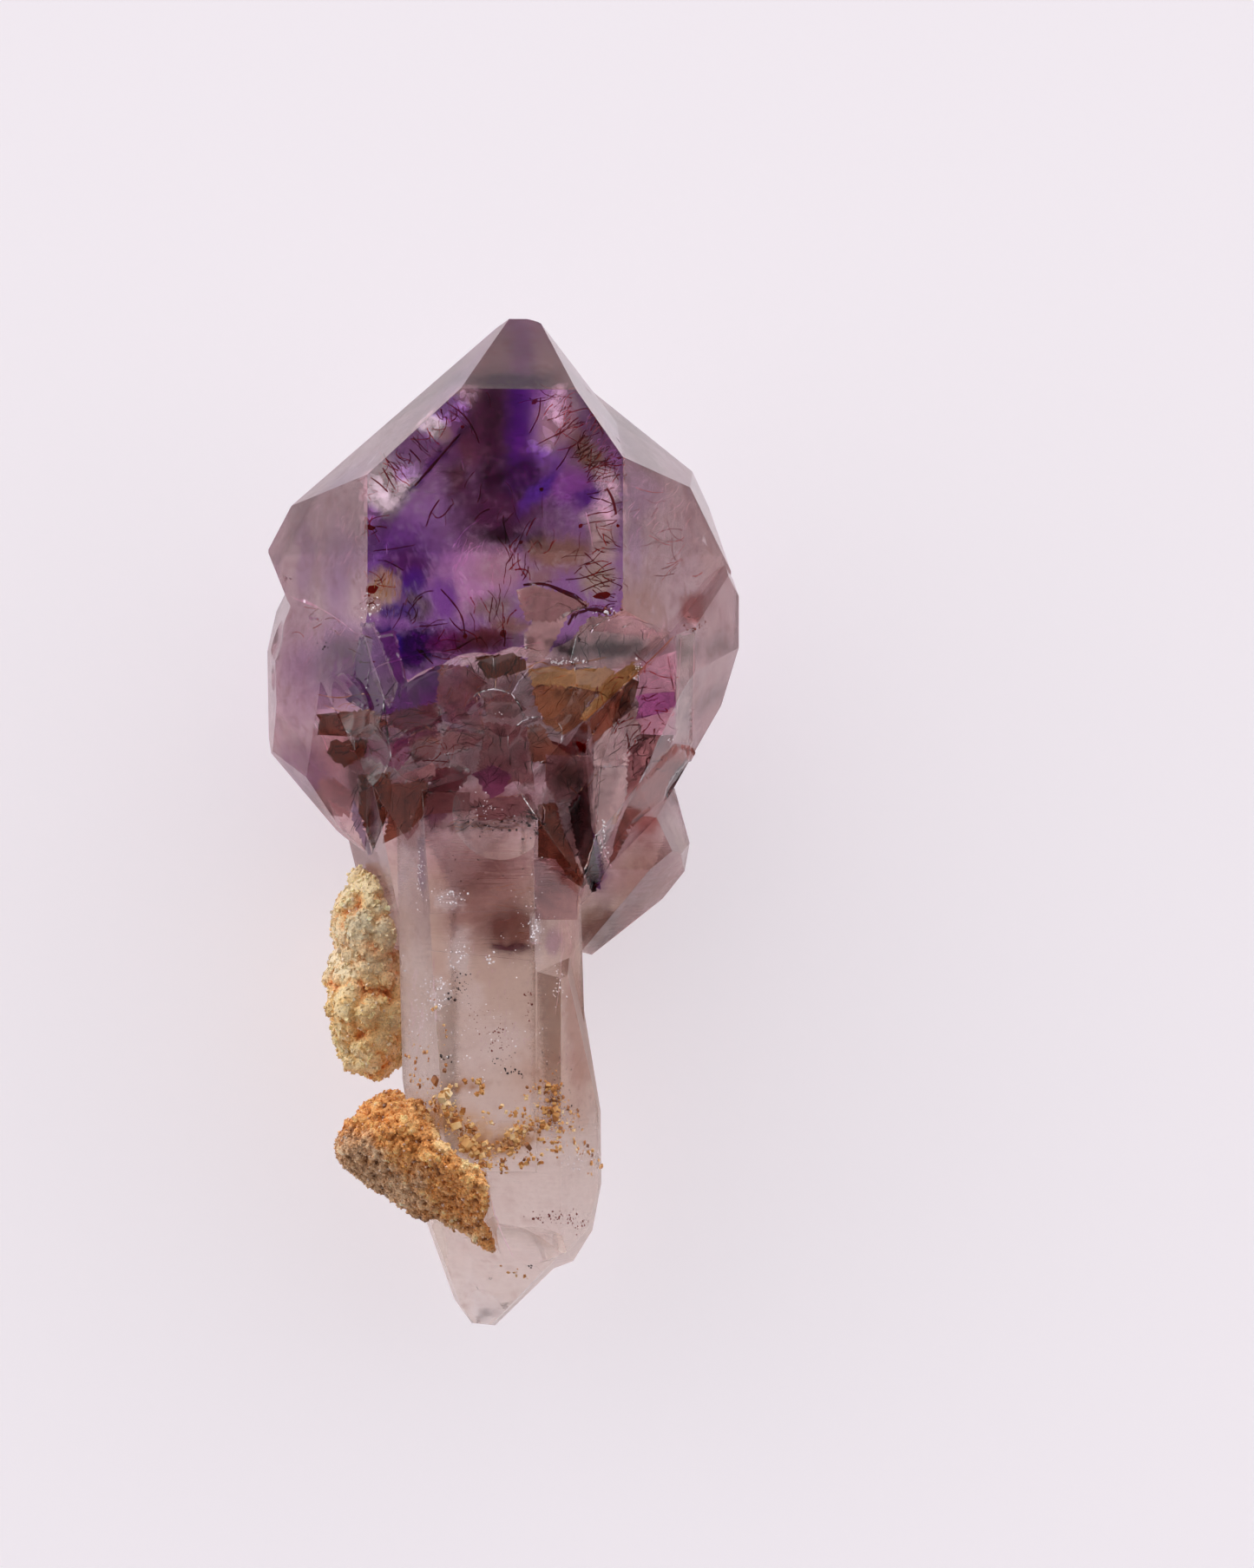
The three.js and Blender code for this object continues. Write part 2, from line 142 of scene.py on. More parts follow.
def nearest(points, seeds):
    """Index of the nearest seed, and the distance to it."""
    index, distance = [], []
    for part in np.array_split(points, 1 + len(points) // 20000):
        squares = (part ** 2).sum(1)[:, None] - 2 * part @ seeds.T + (seeds ** 2).sum(1)
        index.append(squares.argmin(axis=1))
        distance.append(np.sqrt(np.maximum(squares.min(axis=1), 0.0)))
    return np.concatenate(index), np.concatenate(distance)


def spread_out(points, chance, gap, most, luck):
    """Some of the points, each tried with a chance, no two nearer than gap."""
    kept = np.empty((0, 3))
    for i in luck.permutation(len(points))[: most * 25]:
        if chance > luck.random() and (((kept - points[i]) ** 2).sum(1) > gap * gap).all():
            kept = np.vstack([kept, points[i]])
            if len(kept) == most:
                break
    return kept


# Meshes and pieces

def shape_of(node):
    """A mesh to work on with the shape of a solid, its doubled points joined."""
    mesh = bmesh.new()
    mesh.from_mesh(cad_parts[node].data)
    bmesh.ops.remove_doubles(mesh, verts=mesh.verts, dist=0.001 * MM)
    return mesh


def arrays_of(mesh):
    """Points in mm, normals and triangles of a mesh as arrays. The mesh is freed."""
    bmesh.ops.triangulate(mesh, faces=mesh.faces)
    mesh.normal_update()
    points = np.array([v.co[:] for v in mesh.verts]) / MM
    normals = np.array([v.normal[:] for v in mesh.verts])
    faces = np.array([[v.index for v in f.verts] for f in mesh.faces])
    mesh.free()
    return points, normals, faces


def only_triangles(mesh):
    bmesh.ops.triangulate(mesh, faces=[f for f in mesh.faces if len(f.verts) > 3])


def shown_mesh(piece):
    """A mesh to work on with the shape that a piece has after its modifiers."""
    mesh = bmesh.new()
    mesh.from_mesh(piece.evaluated_get(bpy.context.evaluated_depsgraph_get()).to_mesh())
    return mesh


def placed(name, data):
    """An object of the given data in the scene."""
    made = bpy.data.objects.new(name, data)
    bpy.context.scene.collection.objects.link(made)
    return made


def piece_of(name, data, material=None):
    """A piece of the scepter from its mesh."""
    if material:
        data.materials.append(material)
    piece = placed(name, data)
    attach(piece, "root")
    print(name, len(data.polygons))
    return piece


def read(items, name, width, kind=float):
    """One property of all points, corners or faces of a mesh, as an array with a row for each."""
    flat = np.empty(len(items) * width, dtype=kind)
    items.foreach_get(name, flat)
    return flat.reshape(-1, width)


def store(data, name, kind, colours):
    """Keeps a colour for each point or corner of a mesh, under a name that its material reads."""
    full = np.ones((len(colours), 4))
    full[:, :3] = np.clip(colours, 0.0, 1.0)
    data.attributes.new(name, "FLOAT_COLOR", kind).data.foreach_set("color", full.ravel())


# Materials

def rgb(r, g, b):
    """Linear colour from a screen colour of 0 to 255 a channel."""
    def one(value):
        value /= 255.0
        return value / 12.92 if value <= 0.04045 else ((value + 0.055) / 1.055) ** 2.4
    return (one(r), one(g), one(b), 1.0)


class Graph:
    """The nodes of a new material or world, with short names for the few kinds that are used."""

    def __init__(self, owner):
        owner.use_nodes = True
        self.owner, self.tree = owner, owner.node_tree
        self.tree.nodes.clear()

    def node(self, kind, inputs=None, **properties):
        """A new node with its properties set and its inputs fed by sockets or plain values."""
        made = self.tree.nodes.new(kind)
        for name, value in properties.items():
            setattr(made, name, value)
        for name, value in (inputs or {}).items():
            if isinstance(value, bpy.types.NodeSocket):
                self.tree.links.new(value, made.inputs[name])
            else:
                made.inputs[name].default_value = value
        return made

    def math(self, operation, a, b, clamp=False):
        return self.node("ShaderNodeMath", {0: a, 1: b}, operation=operation, use_clamp=clamp).outputs[0]

    def scaled(self, vector, scale):
        made = self.node("ShaderNodeVectorMath", {0: vector, "Scale": scale}, operation="SCALE")
        return made.outputs[0]

    def place(self):
        """Position on the object in millimetres."""
        return self.scaled(self.node("ShaderNodeTexCoord").outputs["Object"], 1 / MM)

    def painted(self, name):
        return self.node("ShaderNodeAttribute", attribute_name=name)

    def noise(self, place, scale, detail=2.0, roughness=0.5):
        inputs = {"Vector": place, "Scale": scale, "Detail": detail, "Roughness": roughness}
        return self.node("ShaderNodeTexNoise", inputs).outputs["Fac"]

    def ramp(self, value, low, high, out_low=0.0, out_high=1.0, kind="SMOOTHSTEP"):
        ends = {"From Min": low, "From Max": high, "To Min": out_low, "To Max": out_high}
        made = self.node("ShaderNodeMapRange", {"Value": value, **ends}, clamp=True, interpolation_type=kind)
        return made.outputs["Result"]

    def multiplied(self, factor, a, b):
        """Colour a, multiplied by b as far as the factor says."""
        inputs = {0: factor, 6: a, 7: b}
        return self.node("ShaderNodeMix", inputs, data_type="RGBA", blend_type="MULTIPLY").outputs[2]

    def bump(self, height, distance, strength, normal=None):
        """A normal bumped by a height, by a distance in mm."""
        inputs = {"Strength": strength, "Distance": distance * MM, "Height": height}
        if normal is not None:
            inputs["Normal"] = normal
        return self.node("ShaderNodeBump", inputs).outputs[0]

    def absorption(self, colour, density):
        inputs = {"Color": (*colour, 1.0), "Density": density}
        return self.node("ShaderNodeVolumeAbsorption", inputs).outputs[0]

    def end(self, surface, volume=None):
        """Ends a material with its surface, and with its inside where it has one."""
        inputs = {"Surface": surface.outputs[0]}
        if volume is not None:
            inputs["Volume"] = volume
        self.node("ShaderNodeOutputMaterial", inputs)
        return self.owner


def plain_material(name, colour, roughness=0.5, glow=0.0, alpha=1.0):
    """One colour. A glow, where one is given, is painted light: pale stuff in the crystal glows to stand in
    for the light that it scatters from beside it.
    """
    g = Graph(bpy.data.materials.new(name))
    inputs = {"Base Color": colour, "Roughness": roughness, "Alpha": alpha}
    if glow:
        inputs.update({"Emission Color": colour, "Emission Strength": glow})
        g.owner.cycles.emission_sampling = "NONE"
    return g.end(g.node("ShaderNodeBsdfPrincipled", inputs))


def mottled_material(name, tones, size, roughness):
    """Each small island of the mesh takes one of the tones, shifted from place to place."""
    g = Graph(bpy.data.materials.new(name))
    place = g.place()
    island = g.node("ShaderNodeNewGeometry").outputs["Random Per Island"]
    patch = g.ramp(g.noise(place, 1.0 / size, 3.0), 0.3, 0.7, -0.3, 0.3, "LINEAR")
    pick = g.math("ADD", g.math("ADD", g.math("MULTIPLY", island, 0.7), 0.15), patch, clamp=True)
    ramp = g.node("ShaderNodeValToRGB", {0: pick})
    stops = ramp.color_ramp.elements
    stops[0].color, stops[1].color = tones[0], tones[-1]
    for i, tone in enumerate(tones[1:-1], 1):
        stops.new(i / (len(tones) - 1)).color = tone
    fine = g.noise(place, 9.0, 3.0)
    return g.end(g.node("ShaderNodeBsdfPrincipled", {
        "Base Color": ramp.outputs[0],
        "Roughness": g.ramp(fine, 0.3, 0.7, roughness * 0.7, roughness * 1.3),
        "Normal": g.bump(fine, 0.06, 0.6),
    }))


def painted_stone(name):
    """Dull stone in the colours that are painted on its points, darker and lighter in fine specks."""
    g = Graph(bpy.data.materials.new(name))
    fine = g.noise(g.place(), 7.0, 4.0, 0.7)
    speck = g.ramp(fine, 0.36, 0.64, 0.72, 1.18, "LINEAR")
    return g.end(g.node("ShaderNodeBsdfPrincipled", {
        "Base Color": g.scaled(g.painted("tone").outputs["Color"], speck),
        "Roughness": g.ramp(fine, 0.3, 0.7, 0.34, 0.75),
        "Normal": g.bump(fine, 0.08, 0.8),
    }))


def zone_material(name, colour, density):
    """Tinted glass with no surface of its own: only its inside takes light."""
    g = Graph(bpy.data.materials.new(name))
    return g.end(g.node("ShaderNodeBsdfTransparent"), g.absorption(colour, density))


def quartz_material():
    """Clear quartz with the painted tint, frosted along the stem and underneath, with fine level stripes."""
    g = Graph(bpy.data.materials.new("quartz"))
    place = g.place()
    axes = g.node("ShaderNodeSeparateXYZ", {0: place})
    y, z = axes.outputs["Y"], axes.outputs["Z"]
    fine = g.noise(place, 2.4, 7.0, 0.68)
    grime = g.math("MULTIPLY", g.ramp(fine, 0.46, 0.66), g.ramp(y, -10.0, 2.0, 0.22, 0.30))
    smooth = g.math("MULTIPLY", g.ramp(fine, 0.45, 0.75), 0.05)
    stem = g.math("MULTIPLY", g.ramp(y, 2.0, -4.0), g.ramp(fine, 0.35, 0.65, 0.07, 0.26))
    frost = g.math("MULTIPLY", g.painted("frost").outputs["Fac"], 0.5)
    under = g.ramp(z, 8.0, 2.5, 0.0, 0.42)
    striped = g.node("ShaderNodeMapping", {"Vector": place, "Scale": (0.4, 4.5, 0.4)})
    relief = g.math("MULTIPLY", g.noise(striped.outputs[0], 1.0, 3.0), g.ramp(y, 4.0, -4.0))
    lumpy = g.math("MULTIPLY", fine, g.ramp(z, 9.0, 2.0, 0.03, 1.0))
    glass = g.node("ShaderNodeBsdfPrincipled", {
        "Transmission Weight": 1.0,
        "IOR": QUARTZ_IOR,
        "Base Color": g.multiplied(grime, g.painted("passes").outputs["Color"], (0.66, 0.50, 0.50, 1.0)),
        "Roughness": g.math("MAXIMUM", g.math("MAXIMUM", smooth, stem), g.math("MAXIMUM", frost, under)),
        "Normal": g.bump(lumpy, 0.5, 0.6, g.bump(relief, 0.08, 0.6)),
    })
    return g.end(glass, g.absorption((0.42, 0.0, 0.02), 4.5))


# Colours by what is seen

# How the crystal looks from above where nothing tints it, and its share of plain reflection
CLEAR = np.array([0.62, 0.48, 0.53])
CLEAR_WINDOW = np.array([0.50, 0.38, 0.44])
HAZE = 0.015


def passing(r, g, b, clear=CLEAR):
    """Share of light to let through at the upper side for it to look a given screen colour over the floor."""
    return (np.clip(np.array(rgb(r, g, b)[:3]) - HAZE, 0.0, 1.0) / clear) ** 2


def toward(values, target, share):
    """Colours moved part of the way to a target."""
    return values + (np.asarray(target) - values) * share[:, None]


def dimmed(values, share, colour):
    """Colours dimmed by a tint, as far as the share says."""
    return values * (1 - share[:, None] * (1 - np.array(colour)))


def blend(tones, amount):
    """Colour along a list of tones for amounts from 0 to 1."""
    at = np.clip(amount, 0.0, 1.0) * (len(tones) - 1)
    low = np.minimum(at.astype(int), len(tones) - 2)
    tones = np.array([rgb(*tone)[:3] for tone in tones])
    return tones[low] + (tones[low + 1] - tones[low]) * (at - low)[:, None]


# The shape of the crystal

# Where the upper side is broken into small facets: px, py, half width and half height in mm, turn
BREAKS = [
    (560, 838, 9.6, 4.4, 4), (455, 885, 4.4, 4.4, 20), (650, 800, 4.6, 3.2, 10),
    (705, 865, 3.2, 5.4, -20), (655, 935, 2.2, 4.6, -10),
]
# Spacing in pixels and height in mm of the large facets, and how much smaller the small ones are
FACET_PIXELS, FACET_HEIGHT = 27.0, 0.20
SMALL_PIXELS, SMALL_HEIGHT = 0.42, 0.12
# How far a facet's corner may lie from its place in an even grid, as a share of the spacing
SCATTER = 0.46
# Lowest and highest push of the break in mm, and how much it is sunk: by its crumpled sheet, and by a facet
SHEET_PUSH, SHEET_SINK = (-0.5, 0.25), 0.06
FACET_PUSH, FACET_SINK = (-0.4, 0.25), 0.02
# Steepest slope of a facet, its highest step in mm, and how far its outline is drawn in before it is pushed
FACET_SLOPE, FACET_STEP, FACET_MARGIN = 0.08, 0.03, 1.07
# Least upward share of the normal of what is cut, pushed as a facet, painted as one and painted as window
CUT_FACING, PUSH_FACING, FACET_FACING, WINDOW_FACING = 0.2, 0.3, 0.1, 0.80
# Pixels that the facets cover, as low x, low y, high x, high y, and those that may be cut
FACET_AREA = (370, 700, 850, 1060)
CUT_AREA = (350, 660, 840, 1070)

# Screen colours that the facets look
TONES = {
    "pale": (176, 144, 148), "rose": (152, 108, 112), "dusk": (122, 78, 82), "brown": (112, 66, 58),
    "umber": (96, 54, 44), "black": (62, 40, 42), "gold": (160, 112, 76), "amber": (134, 84, 66),
    "orange": (74, 30, 10), "violet": (100, 56, 100), "magenta": (160, 88, 134), "slate": (132, 106, 126),
    "smoke": (116, 78, 82), "blush": (172, 130, 134), "pink": (186, 132, 150), "brick": (140, 76, 72),
    "plum": (98, 56, 62), "wine": (112, 60, 82),
}
# Single facets of the break with straight edges: the colour of each, and its corners in pixels
FACETS = [
    ("violet", [(400, 805), (414, 735), (455, 725), (470, 790), (460, 820), (430, 826)]),
    ("slate", [(415, 718), (431, 717), (459, 792), (449, 817), (432, 787)]),
    ("violet", [(460, 792), (507, 765), (507, 810), (493, 820), (460, 817)]),
    ("dusk", [(507, 765), (542, 768), (560, 787), (550, 800), (560, 817), (527, 823), (503, 810)]),
    ("umber", [(547, 757), (593, 753), (607, 763), (605, 773), (563, 783), (557, 777)]),
    ("blush", [(605, 730), (623, 700), (660, 700), (650, 720), (637, 743), (627, 762), (607, 765)]),
    ("blush", [(660, 734), (680, 710), (723, 710), (770, 727), (773, 730), (737, 763), (722, 771),
        (650, 768)]),
    ("gold", [(608, 772), (637, 767), (657, 772), (700, 768), (718, 782), (693, 797), (640, 790),
        (613, 790)]),
    ("amber", [(613, 790), (640, 790), (693, 797), (677, 810), (670, 833), (650, 847), (627, 833),
        (617, 810)]),
    ("brown", [(680, 830), (727, 783), (737, 783), (730, 810), (697, 847), (683, 857)]),
    ("gold", [(707, 777), (730, 763), (740, 770), (674, 832), (668, 828)]),
    ("orange", [(623, 847), (653, 860), (672, 832), (678, 835), (675, 867), (660, 872), (637, 863)]),
    ("brown", [(600, 862), (623, 847), (660, 872), (647, 882), (612, 878)]),
    ("pale", [(697, 843), (733, 813), (737, 840), (730, 873), (722, 882), (683, 883), (685, 860)]),
    ("pink", [(737, 763), (780, 750), (778, 797), (735, 800), (733, 810)]),
    ("magenta", [(735, 800), (778, 797), (778, 815), (757, 822), (735, 828)]),
    ("pink", [(735, 828), (757, 822), (778, 815), (778, 847), (743, 847)]),
    ("dusk", [(730, 860), (743, 847), (777, 847), (773, 860), (750, 880), (730, 900), (722, 882)]),
    ("pale", [(782, 733), (800, 730), (798, 860), (778, 853)]),
    ("brick", [(730, 910), (780, 855), (823, 870), (803, 887), (727, 953), (700, 1000), (713, 950)]),
    ("smoke", [(770, 900), (790, 875), (806, 878), (803, 887), (766, 920)]),
    ("pale", [(685, 885), (722, 883), (723, 913), (707, 960), (693, 983), (687, 967), (680, 933)]),
    ("smoke", [(630, 870), (680, 872), (685, 887), (660, 925), (640, 925), (628, 900)]),
    ("brown", [(620, 927), (640, 925), (650, 960), (677, 1020), (670, 1023), (620, 987)]),
    ("black", [(655, 930), (677, 900), (681, 950), (692, 1022), (683, 1030), (665, 985)]),
    ("violet", [(681, 950), (690, 975), (697, 1005), (690, 1024)]),
    ("rose", [(615, 990), (640, 990), (667, 1030), (665, 1060), (617, 1060)]),
    ("dusk", [(560, 833), (607, 837), (617, 913), (593, 900), (567, 913), (550, 887)]),
    ("wine", [(545, 893), (567, 880), (590, 893), (580, 914), (565, 920)]),
    ("smoke", [(557, 803), (573, 797), (593, 800), (605, 817), (593, 827), (573, 827), (560, 820)]),
    ("dusk", [(517, 837), (560, 847), (547, 860), (507, 870), (503, 887), (510, 850)]),
    ("plum", [(500, 887), (527, 882), (543, 890), (527, 913), (493, 913)]),
    ("brown", [(450, 900), (493, 900), (493, 933), (473, 957), (440, 973), (450, 930)]),
    ("umber", [(413, 893), (450, 890), (450, 930), (430, 983), (420, 953), (413, 933)]),
    ("slate", [(405, 917), (413, 933), (428, 983), (424, 985), (406, 947)]),
    ("rose", [(367, 900), (390, 897), (407, 917), (403, 940), (380, 940), (365, 913)]),
    ("rose", [(463, 893), (500, 880), (503, 893), (467, 903), (450, 902)]),
    ("brown", [(367, 823), (427, 817), (447, 833), (423, 850), (367, 847)]),
    ("wine", [(423, 853), (470, 850), (477, 867), (460, 887), (420, 873)]),
    ("dusk", [(470, 850), (500, 833), (510, 850), (500, 873), (477, 880)]),
    ("dusk", [(510, 810), (547, 803), (557, 820), (560, 843), (517, 833)]),
    ("plum", [(450, 820), (503, 810), (510, 833), (470, 847), (447, 833)]),
    ("umber", [(385, 852), (423, 853), (420, 873), (395, 884), (376, 868)]),
    ("brown", [(607, 837), (625, 835), (640, 864), (612, 878)]),
    ("dusk", [(493, 913), (540, 913), (547, 933), (487, 940)]),
    ("dusk", [(545, 922), (610, 915), (622, 938), (550, 946)]),
    ("rose", [(595, 680), (614, 674), (650, 683), (681, 697), (638, 716), (605, 716)]),
]
# For each facet, values from -1 to 1 for its slope across and up, its height, its shade and its stripes' turn
FACET_LUCK = np.random.default_rng(31).uniform(-1, 1, (len(FACETS), 5))


def meet(box, other):
    """Whether two boxes of low x, low y, high x and high y overlap."""
    return box[2] > other[0] and box[0] < other[2] and box[3] > other[1] and box[1] < other[3]


def cut_along(mesh, outlines):
    """Cuts the upper side along straight lines as seen from above, so that facets get straight edges."""
    mesh.normal_update()
    seen = {}

    def box_of(face):
        for vertex in face.verts:
            if vertex not in seen:
                seen[vertex] = seen_at(np.array([vertex.co[:]]) / MM)[0]
        ends = [seen[vertex] for vertex in face.verts]
        xs, ys = [end[0] for end in ends], [end[1] for end in ends]
        return (min(xs), min(ys), max(xs), max(ys))

    boxes = {face: box_of(face) for face in mesh.faces if face.normal.z > CUT_FACING}
    near = {face: box for face, box in boxes.items() if meet(box, CUT_AREA)}
    for outline in outlines:
        for a, b in sides_of(outline):
            line_box = (min(a[0], b[0]) - 1, min(a[1], b[1]) - 1, max(a[0], b[0]) + 1, max(a[1], b[1]) + 1)
            faces = [face for face, box in near.items() if meet(box, line_box)]
            parts = set(faces)
            for face in faces:
                parts.update(face.edges)
                parts.update(face.verts)
                near.pop(face)
            across = sight(*a).cross(sight(*b))
            made = bmesh.ops.bisect_plane(
                mesh, geom=list(parts), dist=0.002 * MM, plane_co=CAMERA_AT, plane_no=across)
            for item in made["geom"]:
                if isinstance(item, bmesh.types.BMFace) and item.is_valid:
                    near[item] = box_of(item)
    only_triangles(mesh)
    mesh.normal_update()


class Crumpled:
    """A sheet of flat triangles with random corner heights, laid over the pixels of the break."""

    def __init__(self, spacing, height, seed):
        luck = np.random.default_rng(seed)
        low_x, low_y, high_x, high_y = FACET_AREA
        x, y = np.meshgrid(np.arange(low_x, high_x, spacing), np.arange(low_y, high_y, spacing * 0.8))
        at = np.stack([x.ravel(), y.ravel()], axis=1)
        at = at + luck.uniform(-SCATTER, SCATTER, at.shape) * spacing
        points, _, faces, _, _, _ = delaunay_2d_cdt([Vector(p) for p in at], [], [], 0, 1e-4)
        heights = luck.uniform(-1, 1, len(points)) * height
        self.tree = BVHTree.FromPolygons([(p.x, p.y, h) for p, h in zip(points, heights)], faces)

    def at(self, seen):
        """Height, and the number of the triangle, at each of the seen points."""
        found = [self.tree.ray_cast(Vector((x, y, 9.0)), Vector((0, 0, -1))) for x, y in seen]
        height = np.array([f[0].z if f[0] else 0.0 for f in found])
        return height, np.array([f[2] if f[0] else 0 for f in found])


LARGE_FACETS = Crumpled(FACET_PIXELS, FACET_HEIGHT, 21)
SMALL_FACETS = Crumpled(FACET_PIXELS * SMALL_PIXELS, FACET_HEIGHT * SMALL_HEIGHT, 22)

# Longest edges in mm: on the sides and low down, on the upper side, and over its window and break
SIDE_EDGE, TOP_EDGE, FINE_EDGE = 1.8, 0.62, 0.36
EDGE_STEPS = (8.0, 4.0, 2.0, 1.0, 0.7, 0.5, FINE_EDGE)
LOW_DOWN = 4.0
# The window and the break in pixels, as low x, low y, high x, high y
FINE_AREA = (405, 440, 725, 975)


def finer_on_top(mesh):
    """Cuts long edges: finely over the window and the break, less so on the rest of the upper side."""
    low_x, low_y, high_x, high_y = FINE_AREA
    for finest in EDGE_STEPS:
        for _ in range(2):
            edges = list(mesh.edges)
            ends = np.array([(*e.verts[0].co, *e.verts[1].co) for e in edges]) / MM
            middle = (ends[:, :3] + ends[:, 3:]) / 2
            up = np.array([max((f.normal.z for f in e.link_faces), default=0.0) for e in edges])
            px, py = seen_at(middle).T
            fine = (px > low_x) & (px < high_x) & (py > low_y) & (py < high_y)
            on_side = (up < 0.1) | (middle[:, 2] < LOW_DOWN)
            limit = np.where(on_side, SIDE_EDGE, np.where(fine, FINE_EDGE, TOP_EDGE))
            length = np.linalg.norm(ends[:, :3] - ends[:, 3:], axis=1)
            long = [edges[i] for i in np.flatnonzero(length > np.maximum(finest, limit))]
            if not long:
                break
            bmesh.ops.subdivide_edges(mesh, edges=long, cuts=1)
            only_triangles(mesh)


def broken_share(points, seen, facing):
    """How much a point belongs to the broken part of the upper side, from 0 to 1."""
    share = np.zeros(len(points))
    ragged = rough_at(points, 2.0, 3) * 0.2
    for row in BREAKS:
        share = np.maximum(share, between(oval(seen, *row)[0] + ragged, 1.0, 0.75))
    return share * between(facing, 0.15, 0.45)


def broken(mesh):
    """Pushes the upper side in and out so that it falls into small flat facets where it is broken."""
    mesh.normal_update()
    points = np.array([v.co[:] for v in mesh.verts]) / MM
    seen = seen_at(points)
    facing = np.array([v.normal.z for v in mesh.verts])
    share = broken_share(points, seen, facing)
    moved = np.flatnonzero(share > 0.0)
    push = np.zeros(len(points))
    push[moved] = np.clip(LARGE_FACETS.at(seen[moved])[0] - SHEET_SINK, *SHEET_PUSH) * share[moved]
    for (_, outline), luck in zip(FACETS, FACET_LUCK):
        middle = np.mean(outline, axis=0)
        mine = inside(middle + (seen - middle) * FACET_MARGIN, outline) & (facing > PUSH_FACING)
        slope = (seen[mine] - middle) @ luck[:2] * FACET_SLOPE / PIXELS_A_MM
        push[mine] = np.clip(slope + luck[2] * FACET_STEP - FACET_SINK, *FACET_PUSH)
    push[moved] += SMALL_FACETS.at(seen[moved])[0] * share[moved]
    changed = np.flatnonzero(push != 0.0)
    mesh.verts.ensure_lookup_table()
    for i, amount in zip(changed, push[changed]):
        vertex = mesh.verts[int(i)]
        vertex.co += vertex.normal * float(amount) * MM
    return set(changed.tolist())


# Angles between faces, in degrees: from which an edge is eased, and from which it looks sharp
EASED_FROM = 24.0
SHARP_FROM, SHARP_IN_BREAK = 9.0, 48.0


def crystal_copy(node, name, width):
    """A copy of a node's shape with its edges eased, its breaks added and faces fine enough to paint."""
    mesh = shape_of(node)
    sharp = [e for e in mesh.edges if e.calc_face_angle(0.0) > math.radians(EASED_FROM)]
    bmesh.ops.bevel(mesh, geom=sharp, offset=width, segments=1, affect="EDGES", clamp_overlap=True)
    bmesh.ops.triangulate(mesh, faces=mesh.faces)
    cut_along(mesh, [outline for _, outline in FACETS])
    finer_on_top(mesh)
    moved = broken(mesh)
    only_triangles(mesh)
    for face in mesh.faces:
        face.smooth = True
    mesh.verts.index_update()
    for edge in mesh.edges:
        in_break = edge.verts[0].index in moved and edge.verts[1].index in moved
        edge.smooth = edge.calc_face_angle(0.0) < math.radians(SHARP_IN_BREAK if in_break else SHARP_FROM)
    data = bpy.data.meshes.new(name)
    mesh.to_mesh(data)
    mesh.free()
    piece = piece_of(name, data)
    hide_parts(node)
    return piece


# Coloured zones inside the crystal, as closed clouds cut from a field

CELL = 0.3
FIELD_LOW = np.array([-18.0, -10.0, -0.6])
FIELD_SHAPE = (120, 155, 86)
AXES = [FIELD_LOW[i] + CELL * np.arange(FIELD_SHAPE[i]) for i in range(3)]
GRID = np.stack(np.meshgrid(*AXES, indexing="ij"), axis=-1)


def soft_noise(size, stretch):
    """Smooth noise from 0 to 1 over the grid, with bumps about size mm across."""
    cells = [size * s / CELL for s in stretch]
    values = rng.random([int(n / c) + 3 for n, c in zip(FIELD_SHAPE, cells)])
    for axis, (count, cell) in enumerate(zip(FIELD_SHAPE, cells)):
        at = np.arange(count) / cell + rng.random()
        low = at.astype(int)
        part = at - low
        part = (part * part * (3 - 2 * part)).reshape([-1 if i == axis else 1 for i in range(3)])
        values = np.take(values, low, axis) * (1 - part) + np.take(values, low + 1, axis) * part
    return values


def cloudy(size, octaves, stretch=(1.0, 1.0, 1.0)):
    """Noise of several sizes, from about -1 to 1."""
    total, weight, amount = 0.0, 1.0, 0.0
    for _ in range(octaves):
        total = total + weight * (soft_noise(size, stretch) * 2 - 1)
        amount += weight
        size, weight = size / 2, weight * 0.55
    return total / amount


def depth_inside(node):
    """Distance below the surface of a node over the grid, in mm, up to about 3 mm."""
    points, _, faces = arrays_of(shape_of(node))
    level = openvdb.FloatGrid.createLevelSetFromPolygons(
        ((points - FIELD_LOW) / CELL).astype(np.float32),
        triangles=faces.astype(np.uint32),
        transform=openvdb.createLinearTransform(1.0),
        halfWidth=10.0,
    )
    values = np.zeros(FIELD_SHAPE, dtype=np.float32)
    level.copyToArray(values, ijk=(0, 0, 0))
    return -values * CELL


def zone_field(zones, push):
    """Highest over the zones of 1 at a zone's middle to 0 at its rim and lower outside.

    A zone is (px, py, z, half width, half height, half depth, turn): where it is seen, its
    height and its half sizes in mm, and its turn to the left in degrees.
    """
    field = np.full(FIELD_SHAPE, -9.0)
    for px, py, z, wide, high, deep, turn in zones:
        offset = GRID + push - np.array(at_height(px, py, z)) / MM
        across, up = turned(offset[..., 0], offset[..., 1], turn)
        out = np.sqrt((across / wide) ** 2 + (up / high) ** 2 + (offset[..., 2] / deep) ** 2)
        field = np.maximum(field, 1.0 - out)
    return field


